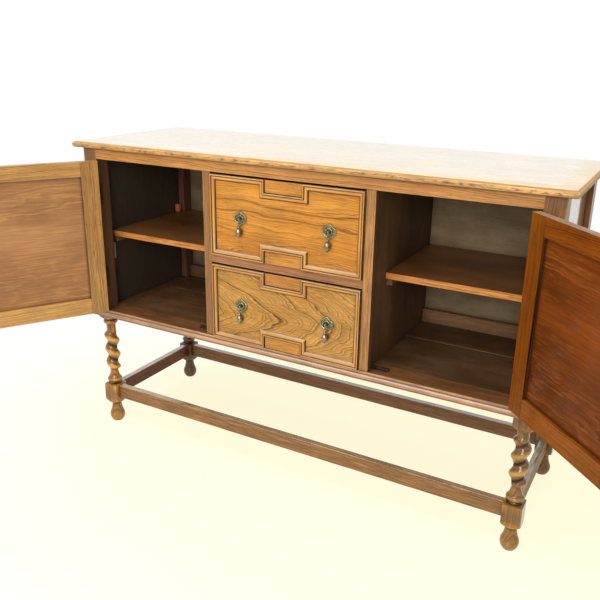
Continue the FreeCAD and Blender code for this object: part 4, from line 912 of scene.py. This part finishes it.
dropBrass = brass("dropBrass", (180, 174, 148), (76, 72, 54), 0.26, 0.45)
for label in ("upper", "lower"):
    for which, side in sides.items():
        makeDrop(f"{label}{which.title()}Drop", pullPlace(label, side, pullLook["boss"]),
                 f"{label}_{which}_pendant", f"{label}_drawer_{which}_drop", dropBrass, dropLook)
for label in sides:
    makeDrop(f"{label}DoorDrop", doorPullPlace(label, pullLook["boss"]), f"{label}_door_pendant",
             f"{label}_door_drop", dropBrass, dropLook)
print("drops made")


# plate rims: a round section carried round a six-sided loop with eased corners, and round a collar

rimLook = {"wide": 18.0, "tall": 20.0, "flank": 0.35, "share": 0.90, "face": 1.5, "half": 1.7, "height": 1.5,
           "collar": 7.4, "collarHalf": 1.5, "collarHeight": 1.9, "edgeSteps": 12, "sectionSteps": 9,
           "easing": 3, "sharp": 70}


def makeRims(name, places, body, finish, look):
    tall, wide, flank = look["tall"], look["wide"], look["flank"] * look["tall"]
    firstHalf = np.array([(0, tall), (-wide, flank), (-wide, -flank)])
    corners = look["share"] * np.vstack([firstHalf, -firstHalf])
    share = np.linspace(0, 1, look["edgeSteps"], endpoint=False)[None, :, None]
    loop = (corners[:, None] * (1 - share) + np.roll(corners, -1, axis=0)[:, None] * share).reshape(-1, 2)
    for turn in range(look["easing"]):
        loop = (np.roll(loop, 1, axis=0) + 2 * loop + np.roll(loop, -1, axis=0)) / 4
    angle = circle(len(loop))
    collar = look["collar"] * np.column_stack([-np.sin(angle), np.cos(angle)])
    section = circle(look["sectionSteps"])
    points, faces = [], []
    for path, half, height in ((loop, look["half"], look["height"]),
                               (collar, look["collarHalf"], look["collarHeight"])):
        ahead = unit(np.roll(path, -1, axis=0) - np.roll(path, 1, axis=0))
        side = np.column_stack([ahead[:, 1], -ahead[:, 0]])
        flat = path[:, None] - half * np.cos(section)[None, :, None] * side[:, None]
        out = np.broadcast_to(-(look["face"] + height * np.sin(section)), flat.shape[:2])
        grid = np.stack([flat[..., 0], out, flat[..., 1]], axis=-1) * mm
        for place in places:
            faces += gridQuads(*grid.shape[:2], True, True, start=sum(map(len, points))).tolist()
            points.append(placed(grid.reshape(-1, 3), place))
    makePiece(name, np.vstack(points), faces, body, [], finish, sharp=look["sharp"])


rimBrass = brass("rimBrass", (190, 186, 150), (96, 96, 68), 0.30, 0.45)
for label in ("upper", "lower"):
    places = [pullPlace(label, side) for side in sides.values()]
    makeRims(label + "PlateRims", places, label + "_drawer", rimBrass, rimLook)
for label in sides:
    makeRims(label + "PlateRim", [doorPullPlace(label)], label + "_door", rimBrass, rimLook)
print("plate rims made")


# small blocks in the left cupboard: a rounded block behind the shelf, a thin strip by the front post

blockLook = {"leftShelfBlock": ((-638.0, 150.0, 619.5), (-622.0, 165.0, 645.0), 1.6, (196, 114, 52)),
             "leftShelfStrip": ((-637.5, -151.0, 530.0), (-633.5, -145.0, 580.0), 1.0, (214, 186, 146))}
for name, (low, high, cut, tone) in blockLook.items():
    points, faces = roundedBoard(low, high, cut)
    finish = oak(name + "Oak", grain="Z", seed=low[2] / 90, light=tone, middle=dimmed(tone, 0.85),
                 rough=0.6, coat=0.0)
    makePiece(name, points * mm, faces.tolist(), "case", [], finish)
print("small blocks made")


# finishes of the CAD nodes

def board(name, grain, **changes):
    # rings, seed and worn edges from the board's own box
    low, high = (list(corner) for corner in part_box(name))
    centre = (np.array(low) + high) / 2
    _, turnY, turnZ = grainTurns[grain]
    turned = np.array(Matrix.Rotation(turnY, 3, "Y") @ Matrix.Rotation(turnZ, 3, "Z")) @ centre
    look = {"grain": grain, "seed": round(float(abs(centre).sum()) * 13 % 7, 2), "edge": (low, high),
            "heart": (turned[1] + 0.02, turned[2] + 0.11)}
    return oak(name + "Oak", **{**look, **changes})


frontTone = {"light": (196, 138, 74), "middle": (166, 110, 54), "dark": (80, 48, 22), "figure": 0.65}
# inner boards; their long crevice reach paints shade deep into the cupboard's corners
innerTone = {"light": (112, 78, 48), "middle": (86, 58, 34), "dark": (42, 28, 17), "rough": 0.55,
             "coat": 0.0, "gloss": 0.25, "wear": (132, 94, 60), "wearShare": 0.35, "figure": 0.4,
             "crevice": 0.6, "creviceReach": 30 * mm}
# inside faces: unpolished wood, made darker still as painted shade
insideTone = (112, 72, 44)
# painted shadow: the tone of faces that look into the gaps round the drawers
gapShadowTone = (40, 26, 16)

# planes, in metres, where outsides give way to insides
plane = {"postInside": 0.6165, "postBehind": 0.2155, "postInner": 0.1735, "panelMiddle": 0.642,
         "front": 0.2160, "railBack": 0.1990, "stileOuter": 0.2440, "stileInner": 0.2220,
         "railUnder": 0.8415, "drawerSide": 0.2190, "floorJoint": 62 * mm, "jointHalf": 3 * mm}
behindFront = ("y", "<", plane["front"])
# posts: painted shade on the faces inside the case
postZones = [zone(insideTone, 1.0, ("x", "<", plane["postInside"]), ("y", "<", plane["postBehind"])),
             zone(insideTone, 1.0, ("x", "<", plane["panelMiddle"]), ("y", "<", plane["postInner"]))]
# side panels: painted shade on the inside face
panelZones = [zone((74, 62, 47), 1.0, ("x", "<", plane["panelMiddle"]))]
backZone = zone(insideTone, 1.0, ("y", "<", plane["railBack"]))
# stiles: painted shade on the side toward the cupboard and behind, painted shadow on the side toward the
# drawers
stileZones = [zone(insideTone, 1.0, ("x", ">", plane["stileOuter"]), behindFront),
              zone(gapShadowTone, 1.0, ("x", "<", plane["stileInner"]), behindFront), backZone,
              zone((138, 90, 48), 0.40, ("X", "<", 0.0)), zone((216, 156, 84), 0.45, ("X", ">", 0.0))]
# painted shadow on the rail's underside; its faces behind the front in the inside tone, partly painted shade
railZones = [zone((40, 25, 15), 1.0, ("z", "<", plane["railUnder"])), backZone]
jointLow, jointHigh = (plane["floorJoint"] + way * plane["jointHalf"] for way in (-1, 1))
floorZones = [zone((196, 154, 112), 0.9, ("Y", ">", jointLow), ("Y", "<", jointHigh)),
              zone((176, 112, 60), 0.8, ("Y", "<", -plane["front"])),
              zone((136, 92, 54), 0.45, ("X", "<", 0.0))]
boardLooks = {
    "front_left_post": ("Z", dict(frontTone, light=(168, 120, 72), middle=(140, 96, 54), zones=postZones)),
    "front_right_post": ("Z", dict(frontTone, light=(180, 128, 76), middle=(148, 102, 58), figure=0.9,
                                   zones=postZones)),
    "rear_left_post": ("Z", dict(frontTone, zones=postZones)),
    "rear_right_post": ("Z", dict(frontTone, light=(150, 100, 56), middle=(120, 78, 40), coat=0.3,
                                  coatRough=0.08, zones=postZones)),
    "front_top_rail": ("X", dict(light=(226, 160, 84), middle=(196, 130, 62), dark=(92, 54, 24), figure=0.8,
                                 zones=railZones)),
    "drawer_stiles": ("Z", dict(light=(196, 138, 76), middle=(164, 108, 54), dark=(76, 46, 22), figure=0.65,
                                zones=stileZones)),
    # its face behind the front, in the gaps, takes the painted shadow
    "drawer_divider_rail": ("X", dict(light=(184, 124, 78), middle=(160, 102, 60), dark=(84, 50, 28),
                                      zones=[zone(gapShadowTone, 1.0, behindFront)])),
    "side_panels": ("Z", dict(light=(206, 150, 92), middle=(182, 124, 68), rough=0.24, coat=1.0,
                              coatRough=0.06, coatIor=1.7, edge=None, zones=panelZones)),
    "back_panel": ("X", dict(innerTone, light=(158, 134, 100), middle=(130, 108, 78), dark=(84, 66, 44),
                             dust=((186, 168, 134), 0.40), streaks=0.25, figure=0.2, flecks=0.25)),
    "back_rails": ("X", dict(innerTone, light=(152, 112, 76), middle=(120, 86, 56))),
    "left_partition": ("Z", innerTone),
    "right_partition": ("Z", dict(innerTone, light=(122, 90, 58), middle=(94, 68, 43))),
    "drawer_runners": ("Y", innerTone),
    "side_top_rails": ("Y", innerTone),
    "shelf_cleats": ("Y", dict(innerTone, light=(156, 116, 76), middle=(124, 90, 56))),
    "floor_boards": ("X", dict(innerTone, light=(108, 74, 44), middle=(74, 50, 30), zones=floorZones,
                               dust=((150, 128, 96), 0.16))),
    "front_base_rail": ("X", dict(innerTone, light=(140, 92, 50), middle=(108, 68, 36))),
    "side_base_rails": ("Y", innerTone),
    "rear_base_rail": ("X", innerTone),
}

# shelves: a paler front edge
shelfTone = dict(innerTone, light=(146, 94, 48), middle=(114, 70, 33), dark=(60, 36, 18), figure=0.5,
                 rough=0.4, gloss=0.4, wear=(206, 134, 74), wearWidth=4 * mm, dust=((150, 120, 84), 0.12))
for label in sides:
    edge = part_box(label + "_shelf")[0][1] + 0.8 * mm
    zones = [zone((244, 158, 72), 0.95, ("Y", "<", edge))]
    boardLooks[label + "_shelf"] = ("X", dict(shelfTone, zones=zones))

# stretchers: dull sides of one tone, a polished top face of another, pale as a painted reflection of the
# light
stretcherTone = {"light": (168, 124, 80), "middle": (136, 96, 58), "dark": (66, 42, 22), "rough": 0.30,
                 "coat": 1.0, "coatRough": 0.10, "coatIor": 1.9, "figure": 0.6, "wear": (222, 178, 120),
                 "wearShare": 0.6}
stretcherLooks = {"front": ("X", (176, 124, 70), (226, 200, 150), 0.5),
                  "rear": ("X", (158, 108, 66), (236, 222, 176), 0.85),
                  "left": ("Y", (128, 66, 34), (255, 248, 232), 0.9),
                  "right": ("Y", (168, 122, 76), (226, 206, 166), 0.7)}
for label, (grain, sideTone, topReflectionTone, topReflectionShare) in stretcherLooks.items():
    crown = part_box(label + "_stretcher")[1][2] - 0.5 * mm
    # the top face's pale tone is painted reflection
    zones = [zone(sideTone, 0.95, ("z", "<", crown)), zone(topReflectionTone, topReflectionShare, ("z", ">", crown))]
    boardLooks[label + "_stretcher"] = (grain, dict(stretcherTone, zones=zones))

# drawers: the lower front's rings are drawn out into arrows
drawerTones = {
    "upper": dict(heart=(-0.20, 1.02), arrow=0.03, taper=0.03, warp=0.026, wave=1.5, ringGap=8.0 * mm,
                  figure=0.85, light=(226, 156, 62), middle=(202, 130, 46), dark=(112, 64, 22)),
    "lower": dict(heart=(-0.192, 0.478), arrow=0.42, taper=0.0, warp=0.022, wave=1.7, ringGap=7.0 * mm,
                  figure=1.0, light=(220, 164, 84), middle=(196, 138, 62), dark=(88, 58, 28))}
rawOak = {"rough": 0.6, "coat": 0.0, "gloss": 0.25}
for label, tones in drawerTones.items():
    top = drawerLook[label][1] * mm - 0.6 * mm
    # painted shadow on the front's upper edge and on its ends, which face the gaps
    gapZones = [zone(gapShadowTone, 1.0, ("z", ">", top)), zone(gapShadowTone, 1.0, ("x", ">", plane["drawerSide"]))]
    boardLooks[label + "_drawer_front"] = ("X", dict(
        tones, rough=0.40, coat=0.10, gloss=0.25, edge=None, crevice=0.9, zones=gapZones))
    boardLooks[label + "_drawer_box"] = ("Y", dict(
        rawOak, light=(206, 164, 108), middle=(186, 142, 88), dark=(120, 82, 46)))
    boardLooks[label + "_drawer_bottom"] = ("X", dict(
        rawOak, light=(200, 160, 110), middle=(182, 140, 92), dark=(124, 88, 52), rough=0.62))
finishes = {name: board(name, grain, **look) for name, (grain, look) in boardLooks.items()}

# doors: golden outsides alike; insides of their own tones, the right door's inside darker and redder as
# painted shade
doorTones = {
    "left": (dict(light=(220, 164, 86), middle=(194, 136, 62), dark=(96, 60, 24)),
             dict(light=(190, 136, 82), middle=(164, 108, 58), dark=(214, 158, 88)),
             dict(rough=0.38, coat=0.25)),
    # right door: a painted-shade copy of the golden oak on its inside
    "right": (dict(light=(160, 90, 22), middle=(130, 66, 10), dark=(62, 30, 6)),
              dict(light=(130, 64, 16), middle=(88, 40, 8), dark=(168, 94, 34)),
              dict(rough=0.55, coat=0.12, coatRough=0.05, gloss=0.05))}
outside = (doorLook["face"] + 1) * mm
dustyTop = zone((214, 188, 160), 0.75, ("z", ">", (doorLook["high"] - 0.3) * mm))
hingeStile = zone((164, 116, 54), 0.3, ("x", "<", doorInner * mm))
goldenFrame = zone((212, 150, 74), 0.88, ("Y", "<", outside))
goldenSheet = zone((192, 132, 72), 0.88, ("Y", "<", outside + doorLook["panelSet"] * mm))
for label, (frameTone, panelTone, shine) in doorTones.items():
    pinX, pinY = doorLook["pin"]
    side, opened = doorLook[label]["side"], doorLook[label]["open"]
    turn = {"turn": math.radians(-opened), "pivot": (side * pinX * mm, pinY * mm, 0)}
    frameZones = [dustyTop, hingeStile, goldenFrame] if label == "left" else [dustyTop, goldenFrame]
    finishes[label + "_door_frame"] = oak(
        label + "DoorFrameOak", framed=(doorInner * mm, doorOuter * mm), seed=4.4, heart=(0.02, 0.16),
        taper=0.02, figure=0.75, zones=frameZones, **turn, **shine, **frameTone)
    finishes[label + "_door_panel"] = oak(
        label + "DoorPanelOak", seed=6.1, heart=(0.62, 0.32), taper=0.05, warp=0.045, ringGap=24 * mm,
        figure=0.35, pores=0.35, flecks=0.3, zones=[goldenSheet], **turn, **shine, **panelTone)

# metal
plateBrass = brass("plateBrass", (172, 168, 130), (86, 86, 62), 0.36, 0.5)
hingeBrass = brass("hingeBrass", (96, 66, 40), (58, 40, 26), 0.5, 0.5, metal=0.4)
catchSteel = brass("catchSteel", (132, 122, 104), (60, 52, 42), 0.45, 0.6)
plates = ("upper_drawer_plates", "lower_drawer_plates", "left_door_plate", "right_door_plate")
hinges = ("post_hinge_leaves", "hinge_pins", "left_door_leaves", "right_door_leaves")
metalNodes = {**dict.fromkeys(plates, plateBrass), **dict.fromkeys(hinges, hingeBrass),
              "door_catches": catchSteel}
finishes.update(metalNodes)

arrisLook = {"wood": 0.7 * mm, "metal": 0.2 * mm, "merge": 0.01 * mm, "segments": 2, "angle": 40}


def softenArrises(node, width, look):
    weld = node.modifiers.new("weld", "WELD")
    weld.merge_threshold = look["merge"]
    arris = node.modifiers.new("arris", "BEVEL")
    arris.width = width
    arris.segments = look["segments"]
    arris.limit_method = "ANGLE"
    arris.angle_limit = math.radians(look["angle"])
    arris.harden_normals = True


for name, finish in finishes.items():
    node = nodes[name]
    node.data.materials.clear()
    node.data.materials.append(finish)
    softenArrises(node, arrisLook["metal" if name in metalNodes else "wood"], arrisLook)
undressed = sorted(name for name, node in nodes.items() if name not in finishes and not node.hide_render)
print("finishes given to", len(finishes), "CAD nodes; left:", undressed)
